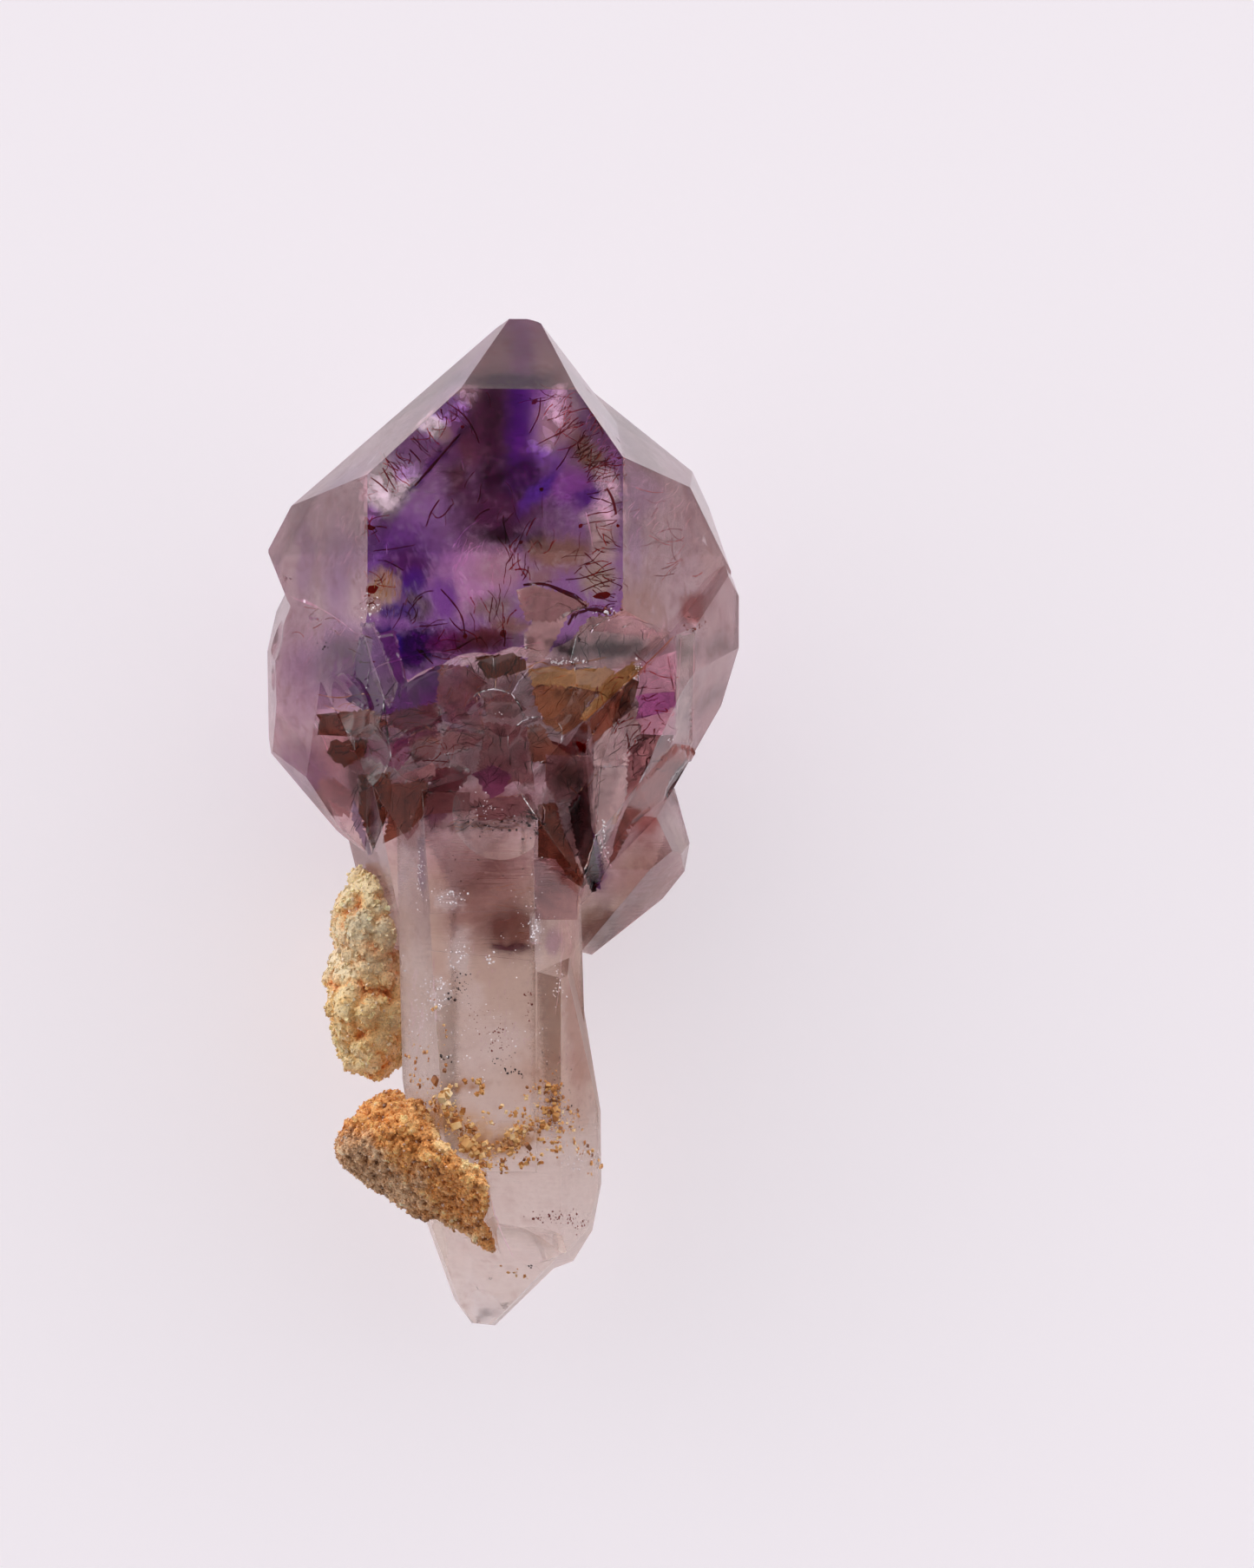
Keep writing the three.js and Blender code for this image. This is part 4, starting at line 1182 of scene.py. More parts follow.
# Frosted patches of tiny pale chips, in the same terms. The chips glow a little: painted light.
FROST = [
    (516, 1035, 16, 9, 60, 0.04, 0.15), (528, 1102, 12, 16, 60, 0.04, 0.15),
    (505, 1148, 12, 18, 70, 0.04, 0.16), (616, 1072, 5, 13, 60, 0.04, 0.15),
    (565, 1107, 3, 6, 16, 0.05, 0.16), (490, 1160, 12, 34, 60, 0.04, 0.13),
    (455, 1105, 8, 10, 20, 0.06, 0.20), (484, 1010, 4, 30, 40, 0.05, 0.15),
    (560, 930, 20, 14, 30, 0.04, 0.12), (615, 1060, 30, 60, 50, 0.04, 0.10),
    (560, 1200, 60, 50, 90, 0.04, 0.12), (645, 1140, 6, 20, 30, 0.05, 0.13),
    (575, 822, 8, 4, 4, 0.05, 0.14), (652, 762, 22, 3, 30, 0.06, 0.22), (700, 706, 10, 3, 12, 0.06, 0.20),
    (735, 770, 4, 10, 14, 0.06, 0.20), (696, 965, 4, 20, 24, 0.05, 0.2),
    (430, 700, 14, 14, 26, 0.04, 0.16), (772, 852, 5, 3, 8, 0.05, 0.16),
    (675, 1340, 30, 10, 50, 0.05, 0.14),
]


def dust(tree, rows, name, material, depth=-0.01):
    """Grains scattered in patches at or just under the surface."""
    grains = Gathered()
    for px, py, across, up, count, small, large in rows:
        for _ in range(count):
            size = small + (large - small) * rng.random() ** 2
            x, y = px + rng.normal() * across * 0.6, py + rng.normal() * up * 0.6
            point = below(tree, x, y, depth + size * 0.35)
            if point is not None:
                grains.grain(point, size * MM)
    grains.piece(name, material)


# Grains of crust on the stem: pixels along a trail, half width in pixels, count, size in mm
TRAILS = [
    ([(500, 1262), (530, 1300), (556, 1330), (585, 1318), (612, 1300), (640, 1272)], 16, 420, 0.08),
    ([(640, 1262), (652, 1290), (640, 1312)], 10, 160, 0.12),
    ([(468, 1195), (486, 1240), (500, 1272)], 12, 120, 0.11),
    ([(500, 1262), (530, 1300), (556, 1330)], 17, 330, 0.16),
    ([(556, 1330), (585, 1318), (612, 1300), (630, 1272)], 13, 260, 0.15),
    ([(630, 1300), (640, 1270), (632, 1245)], 13, 170, 0.14),
    ([(512, 1266), (518, 1254), (530, 1247), (548, 1244), (556, 1252), (552, 1262)], 3, 170, 0.13),
    ([(497, 1255), (520, 1290), (548, 1322)], 15, 60, 0.28),
    ([(560, 1335), (600, 1318), (630, 1290), (640, 1265)], 12, 46, 0.22),
    ([(556, 1340), (553, 1360), (549, 1378)], 7, 150, 0.18),
    ([(620, 1248), (612, 1256), (604, 1262)], 5, 40, 0.13),
    ([(640, 1310), (668, 1322), (690, 1345)], 15, 130, 0.12),
    ([(560, 1345), (600, 1340), (640, 1325)], 9, 110, 0.13),
    ([(540, 1290), (580, 1275), (600, 1290)], 16, 90, 0.11),
    ([(575, 1458), (590, 1466), (606, 1472)], 5, 26, 0.10), ([(480, 1190), (490, 1215)], 3, 26, 0.10),
    ([(500, 1150), (497, 1200), (492, 1230)], 3, 44, 0.10),
    ([(514, 1175), (512, 1215), (516, 1240)], 3, 40, 0.10), ([(690, 1335), (695, 1350)], 3, 16, 0.13),
]
OCHRE = [rgb(116, 62, 26), rgb(190, 118, 52), rgb(226, 172, 106), rgb(244, 216, 170)]


def stem_crust(tree):
    """Crumbs of crust in small heaps along the trails."""
    grains = Gathered()
    for pixels, spread, count, size in TRAILS:
        points = np.array(pixels, dtype=float)
        heaps = []
        for _ in range(max(6, count // 5)):
            at = rng.uniform(0, len(points) - 1)
            i = min(int(at), len(points) - 2)
            middle = points[i] + (points[i + 1] - points[i]) * (at - i)
            heaps.append(middle + rng.normal(size=2) * spread * 0.5)
        for _ in range(count):
            heap = heaps[rng.integers(len(heaps))]
            px, py = heap + rng.normal(size=2) * min(spread * 0.25, 3.2)
            hit = surface_at(tree, px, py)
            if hit:
                across = size * (0.4 + 2.4 * rng.random() ** 4)
                grains.grain(hit[0] + hit[1] * across * 0.18 * MM, across * MM, hit[1])
    grains.piece("stem_crust_grains", mottled_material("stem_crust", OCHRE, 1.2, 0.5), "crust")


# The two lumps of crust

def even_form(node, voxel):
    """A node's shape as points, normals and triangles of even size, in mm."""
    mesh = shape_of(node)
    data = bpy.data.meshes.new(node + "_form")
    mesh.to_mesh(data)
    mesh.free()
    piece = placed(node + "_form", data)
    remesh = piece.modifiers.new("even", "REMESH")
    remesh.mode = "VOXEL"
    remesh.voxel_size = voxel * MM
    piece.modifiers.new("calm", "SMOOTH").iterations = 4
    arrays = arrays_of(shown_mesh(piece))
    bpy.data.objects.remove(piece)
    return arrays


def knobs(points, gap, shift, luck):
    """Heights of round knobs grown side by side, from 0 in the creases to 1 on top, and each point's knob."""
    seeds = spread_out(points, KNOB_CHANCE, gap, MOST_KNOBS, luck)
    wavy = points + np.stack([rough_at(points, gap, 3, shift + i) for i in range(3)], axis=1) * gap * 0.35
    index, distance = nearest(wavy, seeds)
    return np.sqrt(np.clip(1.0 - (distance / (gap * KNOB_REACH)) ** 2, 0.0, 1.0)), index


# Size in mm of the crust's triangles, how far it is sunk, and how far it may stand out of its solid
CRUST_VOXEL, CRUST_SINK, CRUST_RISE = 0.15, 0.02, 0.32
# Heights in mm of small knobs, of gravel and of wide swells
BUMP_HEIGHT, GRAVEL_HEIGHT, SWELL_HEIGHT = 0.26, 0.17, 0.36
# Gap between small knobs as a share of that between large ones, a knob's half width as a share of its gap
SMALL_KNOB, KNOB_REACH = 0.38, 0.95
# Chance that a point is taken as the top of a knob where there is room for one, and how many there may be
KNOB_CHANCE, MOST_KNOBS = 1.0, 900
# Factor for the crust's tones, and the most light that they give back
CRUST_LIGHT, BRIGHTEST = 1.23, 0.95


def crust_lump(node, gap, knob_height, grains, smallest, largest, tone_at, shift):
    """A node's shape grown over with knobs, fine bumps and loose grains, with its colours on its points."""
    points, normals, faces = even_form(node, CRUST_VOXEL)
    own = np.random.default_rng(shift)
    large, which = knobs(points, gap, shift, own)
    small, _ = knobs(points, gap * SMALL_KNOB, shift + 9.0, own)
    gravel = rough_at(points, 0.55, 4, shift + 4.0, 0.75)
    swell = rough_at(points, 3.5, 2, shift + 6.0)
    height = knob_height * (large - 0.6) + BUMP_HEIGHT * (small - 0.5) + GRAVEL_HEIGHT * gravel
    height = height + SWELL_HEIGHT * swell - CRUST_SINK
    points = points + normals * np.minimum(height, CRUST_RISE)[:, None]
    luck = own.random(which.max() + 1)[which]
    colours = np.clip(tone_at(points, large, small, gravel, luck) * CRUST_LIGHT, 0.0, BRIGHTEST)
    lump, shades = Gathered(), [colours]
    lump.add(points * MM, faces)
    corners = points[faces]
    crossed = np.cross(corners[:, 1] - corners[:, 0], corners[:, 2] - corners[:, 0])
    areas = np.linalg.norm(crossed, axis=1)
    for index in rng.choice(len(areas), grains, p=areas / areas.sum()):
        u, w = sorted(rng.random(2))
        a, b, c = corners[index]
        point = a * u + b * (w - u) + c * (1 - w)
        size = smallest + (largest - smallest) * rng.random() ** 3
        normal = crossed[index] / (areas[index] + 1e-9)
        lump.grain((point + normal * 0.15 * size) * MM, size * MM)
        shade = colours[faces[index][0]] * rng.uniform(0.8, 1.22)
        shades.append(np.tile(shade + (1.0 - shade) * (0.35 if rng.random() < 0.08 else 0.0), (8, 1)))
    name = node + "_grains"
    made = lump.piece(name, painted_stone(name), "crust")
    store(made.data, "tone", "POINT", np.vstack(shades))
    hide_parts(node)


def upper_tone(points, large, small, gravel, luck):
    """Cream and yellow-tan knobs with orange in the creases, greyer and more sugary half way down. The tone
    darkens from the knobs' tops into the creases: partly the orange oxide there, partly painted shade.
    """
    along = seen_at(points)[:, 1]
    sugary = between(np.abs(along - 1085) + rough_at(points, 2.0, 3) * 40, 80, 20)
    # Paler high on the knobs and darker low between them: partly painted shade.
    level = 0.90 * large + 0.40 * small + 0.24 * gravel + 0.26 * (luck - 0.4) - 0.30
    level = level + 0.12 * between(along, 1090, 1060)
    warm = blend([(136, 74, 30), (212, 144, 80), (232, 182, 122), (240, 202, 150), (244, 216, 180)], level)
    pale = blend([(140, 96, 64), (204, 162, 126), (226, 192, 160), (236, 210, 184), (240, 222, 204)], level)
    patch = between(rough_at(points, 2.2, 3, 60.0), 0.05, 0.5) * 0.6
    warm = dimmed(warm, patch, (1.0, 0.84, 0.58))
    return toward(warm, pale, sugary * 0.60) * (1.10, 0.90, 0.79)


def lower_tone(points, large, small, gravel, luck):
    """Sandy brown on the broad face, deeper orange beside it, and a cream ridge beside the stem, paler on the
    bumps and darker between them, partly as painted shade.
    """
    seen = seen_at(points)
    side = (seen[:, 0] - 395) * 0.62 - (seen[:, 1] - 1310) * 0.78
    wavy = rough_at(points, 1.8, 4)
    ridge = between(side + wavy * 18, 48, 62) * (0.30 + 0.70 * between(seen[:, 0], 488, 512))
    # Paler on the bumps and darker between them: partly painted shade.
    grit = 0.38 + 0.60 * gravel + 0.34 * (small - 0.5) + 0.16 * (luck - 0.5)
    sand = blend([(88, 60, 40), (170, 128, 92), (212, 174, 136), (244, 220, 190)], grit)
    rust = blend([(96, 48, 18), (182, 114, 50), (220, 160, 92), (244, 208, 150)], grit)
    pale = grit + 0.18 + 0.2 * large
    cream = blend([(130, 70, 30), (192, 128, 68), (218, 168, 104), (234, 202, 150)], pale)
    colours = toward(sand, rust, between(side + wavy * 46, -6, 24)) * 1.12
    patchy = between(rough_at(points, 1.1, 3, 50.0), -0.35, 0.25)
    return toward(colours, cream, ridge * (0.25 + 0.75 * patchy))


# Paint on the crystal

# Colour that lies at the surface of the crystal: px, py, half width and half height in mm, turn in
# degrees, share of red, green and blue let through, how soft the rim is, and how streaky it is upwards
TINTS = [
    # Upper facets
    (590, 438, 4.8, 1.2, 0, (0.045, 0.014, 0.06), 0.9, 0.2),
    (602, 405, 0.8, 2.2, 0, (0.80, 0.55, 0.95), 0.9, 0.3),
    (690, 520, 1.2, 4.8, 30, (0.40, 0.24, 0.20), 0.8, 0.5),
    # Left faces
    (330, 640, 2.6, 5.2, 0, (0.80, 0.66, 0.70), 0.8, 0.3),
    (385, 620, 3.2, 5.2, 0, (0.58, 0.42, 0.46), 0.8, 0.4),
    (352, 640, 0.8, 3.6, 0, (0.66, 0.46, 0.90), 0.8, 0.2),
    (398, 770, 2.9, 3.0, 0, (0.11, 0.008, 0.13), 0.9, 0.3),
    (345, 790, 2.4, 5.0, 5, (0.70, 0.52, 0.68), 0.8, 0.4),
    (350, 890, 2.4, 3.0, 25, (0.32, 0.16, 0.32), 0.8, 0.4),
    (430, 764, 0.9, 2.4, 16, (0.60, 0.44, 0.70), 0.5, 0.2),
    # Right faces
    (765, 600, 3.6, 6.0, 10, (0.76, 0.58, 0.58), 0.9, 0.5),
    (730, 620, 0.9, 3.6, 0, (0.66, 0.46, 0.92), 0.9, 0.4),
    (820, 620, 2.6, 5.4, 15, (0.80, 0.62, 0.52), 0.9, 0.5),
    (735, 700, 3.0, 3.4, 0, (0.52, 0.30, 0.20), 0.9, 0.5),
    (825, 760, 2.0, 6.0, 0, (0.80, 0.62, 0.56), 0.8, 0.5),
    (798, 700, 1.1, 1.1, 0, (0.60, 0.24, 0.22), 0.4, 0.4),
    (791, 795, 0.8, 3.9, 0, (0.88, 0.74, 0.66), 0.3, 0.2),
    (760, 790, 1.3, 3.2, -8, (0.70, 0.20, 0.42), 0.7, 0.8),
    (757, 868, 1.5, 1.6, 20, (0.32, 0.14, 0.08), 0.7, 0.8),
    (786, 880, 1.2, 2.6, -42, (0.24, 0.10, 0.07), 0.9, 0.3),
    (790, 905, 0.7, 2.2, -42, (0.10, 0.06, 0.04), 0.9, 0.2),
    (800, 700, 1.8, 1.4, 0, (0.50, 0.30, 0.26), 0.8, 0.4),
    (745, 925, 2.4, 4.4, -25, (0.36, 0.08, 0.06), 0.8, 0.4),
    # Break between head and stem
    (350, 740, 3.0, 4.6, 0, (0.62, 0.44, 0.58), 0.9, 0.4),
    (360, 930, 2.6, 1.6, 40, (0.40, 0.18, 0.16), 0.8, 0.4),
    (745, 905, 2.6, 3.8, -40, (0.80, 0.44, 0.42), 0.8, 0.3),
    (810, 830, 1.6, 3.0, 0, (0.70, 0.50, 0.46), 0.8, 0.4),
    (735, 515, 1.2, 3.4, 36, (0.32, 0.20, 0.16), 0.9, 0.4),
    # Side crystal
    (745, 1010, 3.0, 3.8, -35, (0.54, 0.34, 0.32), 0.9, 0.3),
    (690, 1070, 2.0, 2.0, -30, (0.16, 0.07, 0.05), 0.7, 0.3),
    (722, 1060, 1.2, 2.4, -35, (0.44, 0.20, 0.18), 0.7, 0.3),
    # Stem
    (470, 950, 1.4, 3.0, 25, (0.30, 0.13, 0.12), 0.7, 0.5),
    (560, 925, 5.2, 1.8, 0, (0.28, 0.13, 0.12), 0.9, 0.4),
    (505, 925, 1.4, 2.4, -15, (0.16, 0.06, 0.12), 0.6, 0.4),
    (560, 953, 4.6, 0.40, 0, (0.12, 0.06, 0.05), 0.8, 0.7),
    (600, 942, 3.0, 0.3, 0, (0.14, 0.07, 0.06), 0.8, 0.7),
    (560, 1025, 4.6, 5.4, 0, (0.50, 0.30, 0.30), 0.9, 0.2),
    (590, 1072, 2.8, 2.4, 0, (0.18, 0.07, 0.06), 0.8, 0.2),
    (587, 1093, 1.6, 0.5, 0, (0.14, 0.04, 0.09), 0.5, 0.2),
    (637, 1088, 0.8, 1.2, 0, (0.48, 0.30, 0.52), 0.6, 0.2),
    (650, 1005, 1.2, 3.0, 8, (0.60, 0.32, 0.32), 0.7, 0.3),
    (655, 1060, 1.0, 3.6, 0, (0.90, 0.66, 0.72), 0.7, 0.2),
    (487, 1000, 0.30, 3.0, 0, (0.34, 0.25, 0.42), 0.6, 0.2),
    (665, 1190, 1.2, 7.4, 4, (0.56, 0.34, 0.28), 0.9, 0.3),
    (640, 1240, 4.2, 3.2, 0, (0.84, 0.66, 0.56), 1.0, 0.2),
    (540, 1300, 3.4, 1.6, -30, (0.84, 0.56, 0.30), 0.9, 0.9),
    (610, 1305, 3.8, 1.3, 20, (0.84, 0.60, 0.36), 0.9, 0.9),
    (655, 1290, 1.6, 1.6, 0, (0.80, 0.60, 0.42), 0.9, 0.9),
    (508, 1290, 1.5, 1.7, 20, (0.44, 0.20, 0.06), 0.8, 0.9),
    (545, 1322, 2.0, 1.0, -10, (0.44, 0.22, 0.07), 0.8, 0.9),
    (590, 1318, 1.9, 0.8, 14, (0.46, 0.24, 0.08), 0.8, 0.9),
    (638, 1284, 1.3, 2.0, -8, (0.50, 0.25, 0.09), 0.8, 0.9),
    (553, 1372, 0.8, 1.9, 10, (0.40, 0.18, 0.06), 0.8, 0.9),
    (534, 1252, 1.7, 0.5, 8, (0.46, 0.20, 0.06), 0.6, 0.9),
]
# Colours that the wide flat face looks, laid over each other: px, py, half width and half height in mm,
# turn, screen colour, how soft the rim is, and how streaky
WASHES = [
    (533, 480, 1.8, 3.2, -45, (160, 112, 184), 0.9, 0.3),
    (543, 455, 1.4, 0.8, -20, (196, 164, 186), 0.8, 0.3),
    (500, 492, 1.7, 0.9, -45, (204, 184, 212), 0.8, 0.5),
    (445, 562, 1.9, 2.4, -40, (214, 190, 206), 0.8, 0.4),
    (462, 542, 1.2, 1.4, -40, (170, 130, 182), 0.9, 0.4),
    (426, 594, 0.9, 1.6, 0, (156, 104, 168), 0.8, 0.3), (485, 590, 2.2, 1.6, 0, (142, 94, 150), 0.9, 0.4),
    (631, 490, 1.7, 3.4, 0, (158, 116, 184), 0.9, 0.3), (628, 526, 1.6, 1.2, 0, (130, 84, 164), 0.9, 0.3),
    (693, 592, 1.5, 1.5, 0, (176, 136, 156), 0.8, 0.5), (682, 530, 1.2, 3.6, 34, (126, 92, 92), 0.9, 0.8),
    (650, 560, 2.6, 1.6, -10, (142, 80, 146), 0.9, 0.4),
    (674, 573, 1.8, 0.6, 25, (96, 52, 118), 0.9, 0.3), (543, 518, 1.1, 1.6, 0, (132, 80, 104), 0.8, 0.4),
    (526, 552, 1.5, 2.0, 0, (86, 50, 66), 0.9, 0.4), (556, 492, 1.5, 4.6, 0, (112, 66, 104), 0.9, 0.5),
    (598, 496, 1.4, 5.4, 2, (112, 54, 152), 0.9, 0.4), (572, 500, 1.3, 5.6, 0, (88, 48, 84), 0.9, 0.5),
    (577, 586, 4.2, 3.2, 0, (92, 48, 80), 0.8, 0.6), (600, 548, 2.2, 1.8, 0, (76, 38, 84), 0.8, 0.4),
    (566, 548, 1.2, 1.5, 0, (70, 36, 62), 0.8, 0.4), (543, 630, 0.9, 0.8, 0, (60, 34, 48), 0.8, 0.6),
    (619, 628, 1.3, 1.1, 0, (70, 42, 58), 0.8, 0.6), (576, 618, 2.2, 0.8, 0, (62, 34, 50), 0.8, 0.8),
    (624, 562, 0.6, 2.8, -38, (98, 56, 138), 0.9, 0.3),
    (507, 527, 0.35, 4.2, -43, (84, 44, 98), 0.6, 0.2),
    (496, 540, 0.22, 3.4, -43, (96, 54, 108), 0.6, 0.2),
    (460, 622, 2.9, 2.2, 0, (118, 70, 132), 0.9, 0.3), (469, 654, 2.6, 2.0, 0, (90, 46, 88), 0.9, 0.3),
    (476, 675, 1.2, 1.6, 0, (82, 44, 110), 0.8, 0.3), (430, 640, 0.8, 2.0, 0, (112, 70, 126), 0.8, 0.4),
    (543, 668, 2.8, 3.0, 0, (172, 116, 158), 0.9, 0.6),
    (576, 655, 2.2, 1.8, 0, (160, 112, 134), 0.9, 0.6), (513, 690, 1.3, 2.4, 0, (118, 68, 134), 0.9, 0.5),
    (567, 699, 2.2, 1.3, 0, (130, 96, 106), 0.9, 0.6), (650, 640, 3.2, 1.7, 0, (134, 92, 90), 0.9, 0.5),
    (695, 625, 1.2, 2.4, 0, (164, 126, 132), 0.8, 0.5),
    (690, 668, 1.8, 1.4, 0, (150, 116, 114), 0.8, 0.6), (620, 664, 1.4, 0.8, 0, (136, 94, 106), 0.8, 0.5),
    (440, 678, 1.6, 1.4, 0, (156, 122, 104), 0.7, 0.8), (478, 699, 1.1, 1.5, 0, (98, 76, 84), 0.7, 0.6),
    (455, 704, 1.8, 0.7, 0, (84, 58, 108), 0.7, 0.5), (425, 700, 0.9, 0.9, 0, (150, 116, 118), 0.7, 0.6),
    (590, 722, 2.0, 0.9, 0, (124, 84, 88), 0.8, 0.8),
    (642, 480, 1.5, 2.6, -12, (186, 150, 172), 0.9, 0.5),
    (700, 560, 0.8, 1.6, 20, (176, 140, 156), 0.8, 0.6), (478, 748, 3.0, 1.9, 12, (54, 14, 68), 0.6, 0.3),
    (447, 742, 1.2, 1.6, 10, (54, 14, 96), 0.7, 0.3), (524, 740, 1.9, 1.3, 0, (104, 38, 84), 0.8, 0.6),
    (560, 735, 2.0, 0.9, 0, (116, 62, 74), 0.8, 0.8),
]
WINDOW = [(408, 545), (545, 440), (655, 440), (722, 520), (716, 720), (600, 770), (400, 800)]
WINDOW_GROUND = (132, 88, 134)
# Soft shadows of what lies deeper, over everything else: px, py, half width and half height in mm, turn,
# share let through
SHADOWS = [
    (708, 748, 4.4, 1.15, 2, (0.02, 0.002, 0.002)), (650, 747, 1.6, 1.0, 0, (0.01, 0.002, 0.004)),
    (786, 893, 1.7, 1.0, -42, (0.16, 0.10, 0.09)), (668, 955, 1.2, 4.6, -8, (0.50, 0.34, 0.36)),
    (655, 895, 1.8, 1.5, 0, (0.20, 0.12, 0.10)), (575, 768, 2.0, 1.2, 0, (0.60, 0.40, 0.40)),
    (430, 920, 1.6, 2.6, 14, (0.76, 0.44, 0.42)), (412, 852, 3.8, 2.3, 8, (0.84, 0.50, 0.48)),
    (590, 870, 1.6, 2.6, 0, (0.60, 0.44, 0.50)), (720, 815, 0.9, 2.4, 38, (0.30, 0.18, 0.14)),
    (690, 1010, 0.9, 1.6, 0, (0.20, 0.08, 0.26)), (560, 742, 3.4, 0.9, 6, (0.34, 0.14, 0.18)),
    (392, 885, 2.4, 3.2, 10, (0.60, 0.38, 0.42)), (500, 915, 2.6, 2.6, 0, (0.60, 0.42, 0.42)),
]
# Frosted patches on the stem, in the same terms but with how frosted
FROSTED = [
    (530, 1100, 1.0, 2.2, -6, 0.9), (505, 1150, 0.9, 1.8, 0, 1.0), (516, 1038, 1.3, 0.8, 0, 0.8),
    (616, 1072, 0.42, 1.1, 0, 1.0), (480, 1150, 1.2, 4.4, 0, 0.5), (560, 1200, 3.6, 2.6, 0, 0.4),
    (540, 1150, 1.2, 1.5, 0, 0.5), (460, 1040, 1.0, 3.0, 0, 0.4), (640, 1290, 2.0, 2.0, 0, 0.5),
    (700, 870, 1.0, 3.0, 10, 0.5), (560, 1508, 1.5, 1.3, 0, 1.0), (545, 1480, 0.8, 2.0, 20, 0.5),
]
HEAD_TINT, STEM_TINT, TAIL_TINT = (0.70, 0.40, 0.43), (0.66, 0.51, 0.42), (0.84, 0.74, 0.68)
UNDERSIDE_TINT, FROST_TINT = (0.98, 0.94, 0.96), (0.97, 0.93, 0.93)
PATCH_TINT, VEIN_TINT, LEVEL_TINT = (0.78, 0.64, 0.66), (0.70, 0.52, 0.50), (0.76, 0.66, 0.64)
BREAK_COLOUR = (102, 64, 64)
FACET_WARMTH = np.array([1.0, 0.88, 0.86])
# Width and length in mm of the streaks in the tints, in the window's washes and on the facets
TINT_STREAK, WASH_STREAK, FACET_STREAK = (0.12, 1.4), (0.14, 1.6), (0.45, 3.0)


def streaky_oval(wavy, px, py, wide, high, turn, soft, streak, streak_size):
    """How much each point belongs to an oval with a soft, streaky rim, from 0 to 1, and the streaks."""
    out, across, up = oval(wavy, px, py, wide, high, turn)
    near = out < 1.6
    streak_wide, streak_long = streak_size
    at = np.stack([across[near] / streak_wide, up[near] / streak_long, np.full(near.sum(), px * 0.1)], axis=1)
    lines = np.zeros(len(wavy))
    lines[near] = rough_at(at, 1.0, 2)
    return between(out + lines * streak * 0.35, 1.0 + soft * 0.25, 1.0 - soft * 0.75), lines


def veins_at(points, size, shift, keep, narrow, low, high):
    """Thin winding lines, 1 along them and 0 away from them."""
    return between(1.0 - np.abs(rough_at(points, size, 4, shift, keep)) * narrow, low, high)


def frost_at(points, wavy):
    """How frosted each point is by the patches on the stem."""
    frost = np.zeros(len(points))
    ragged = rough_at(points, 0.6, 4, 9.0, 0.8) * 0.7
    for px, py, wide, high, turn, amount in FROSTED:
        out = oval(wavy, px, py, wide, high, turn)[0]
        frost = np.maximum(frost, amount * between(out + ragged, 1.1, 0.5))
    return frost


def shadow_at(wavy):
    """Share of light that the soft shadows leave at each point."""
    shadow = np.ones((len(wavy), 3))
    for px, py, wide, high, turn, colour in SHADOWS:
        shadow = dimmed(shadow, between(oval(wavy, px, py, wide, high, turn)[0], 1.25, 0.25), colour)
    return shadow


def body_tint(points, seen, wavy, upward, frost):
    """Share of light let through at each point off the window and the facets, and the surface's grain."""
    along = points[:, 1] + rough_at(points, 5.0, 4) * 3.0
    on_head = between(along, -8.0, 2.0)
    tint = toward(np.tile(HEAD_TINT, (len(points), 1)), STEM_TINT, between(along, 3.0, -5.0))
    tint = toward(tint, TAIL_TINT, between(along, -12.0, -28.0))
    for px, py, wide, high, turn, colour, soft, streak in TINTS:
        share, lines = streaky_oval(wavy, px, py, wide, high, turn, soft, streak, TINT_STREAK)
        tint = dimmed(tint, share * (1 - streak * 0.5 * between(lines, 0.0, 0.6)) * upward, colour)
    patch = between(rough_at(points, 2.0, 5, 2.0, 0.75), 0.02, 0.35) * (0.25 + 0.75 * on_head) * upward
    veins = veins_at(points, 1.6, 12.0, 0.6, 9.0, 0.35, 0.95) * on_head * upward
    level = between(rough_at(points / (2.4, 0.16, 1.0), 1.0, 3, 31.0), 0.1, 0.6) * (1 - on_head) * upward
    for share, colour in ((patch, PATCH_TINT), (veins, VEIN_TINT), (level, LEVEL_TINT)):
        tint = dimmed(tint, share, colour)
    tint = toward(tint, UNDERSIDE_TINT, (1 - upward) * between(along, -4.0, 3.0))
    which = LARGE_FACETS.at(seen)[1]
    luck = np.random.default_rng(3).random((which.max() + 1, 1))[which]
    in_break = broken_share(points, seen, upward)
    tint = toward(tint, passing(*BREAK_COLOUR) * (0.35 + 1.3 * luck), in_break * 0.9)
    tint = toward(tint, FROST_TINT, frost * 0.6)
    fine = rough_at(points, 0.8, 3, 40.0, 0.7)
    return tint, (1 - 0.22 * patch) * (1 - 0.34 * veins) * (1 + 0.25 * fine)


def window_tint(points, wavy):
    """Share of light let through at each point where it lies in the window."""
    washed = np.tile(passing(*WINDOW_GROUND, CLEAR_WINDOW), (len(points), 1))
    for px, py, wide, high, turn, colour, soft, streak in WASHES:
        share, _ = streaky_oval(wavy, px, py, wide, high, turn, soft, streak, WASH_STREAK)
        washed = toward(washed, passing(*colour, CLEAR_WINDOW), share)
    wisps = veins_at(points, 1.7, 70.0, 0.7, 11.0, 0.3, 1.0)
    washed = washed * (1 + 0.30 * rough_at(points, 1.1, 3, 80.0, 0.8))[:, None]
    return toward(washed, washed ** 0.5, 0.40 * wisps)


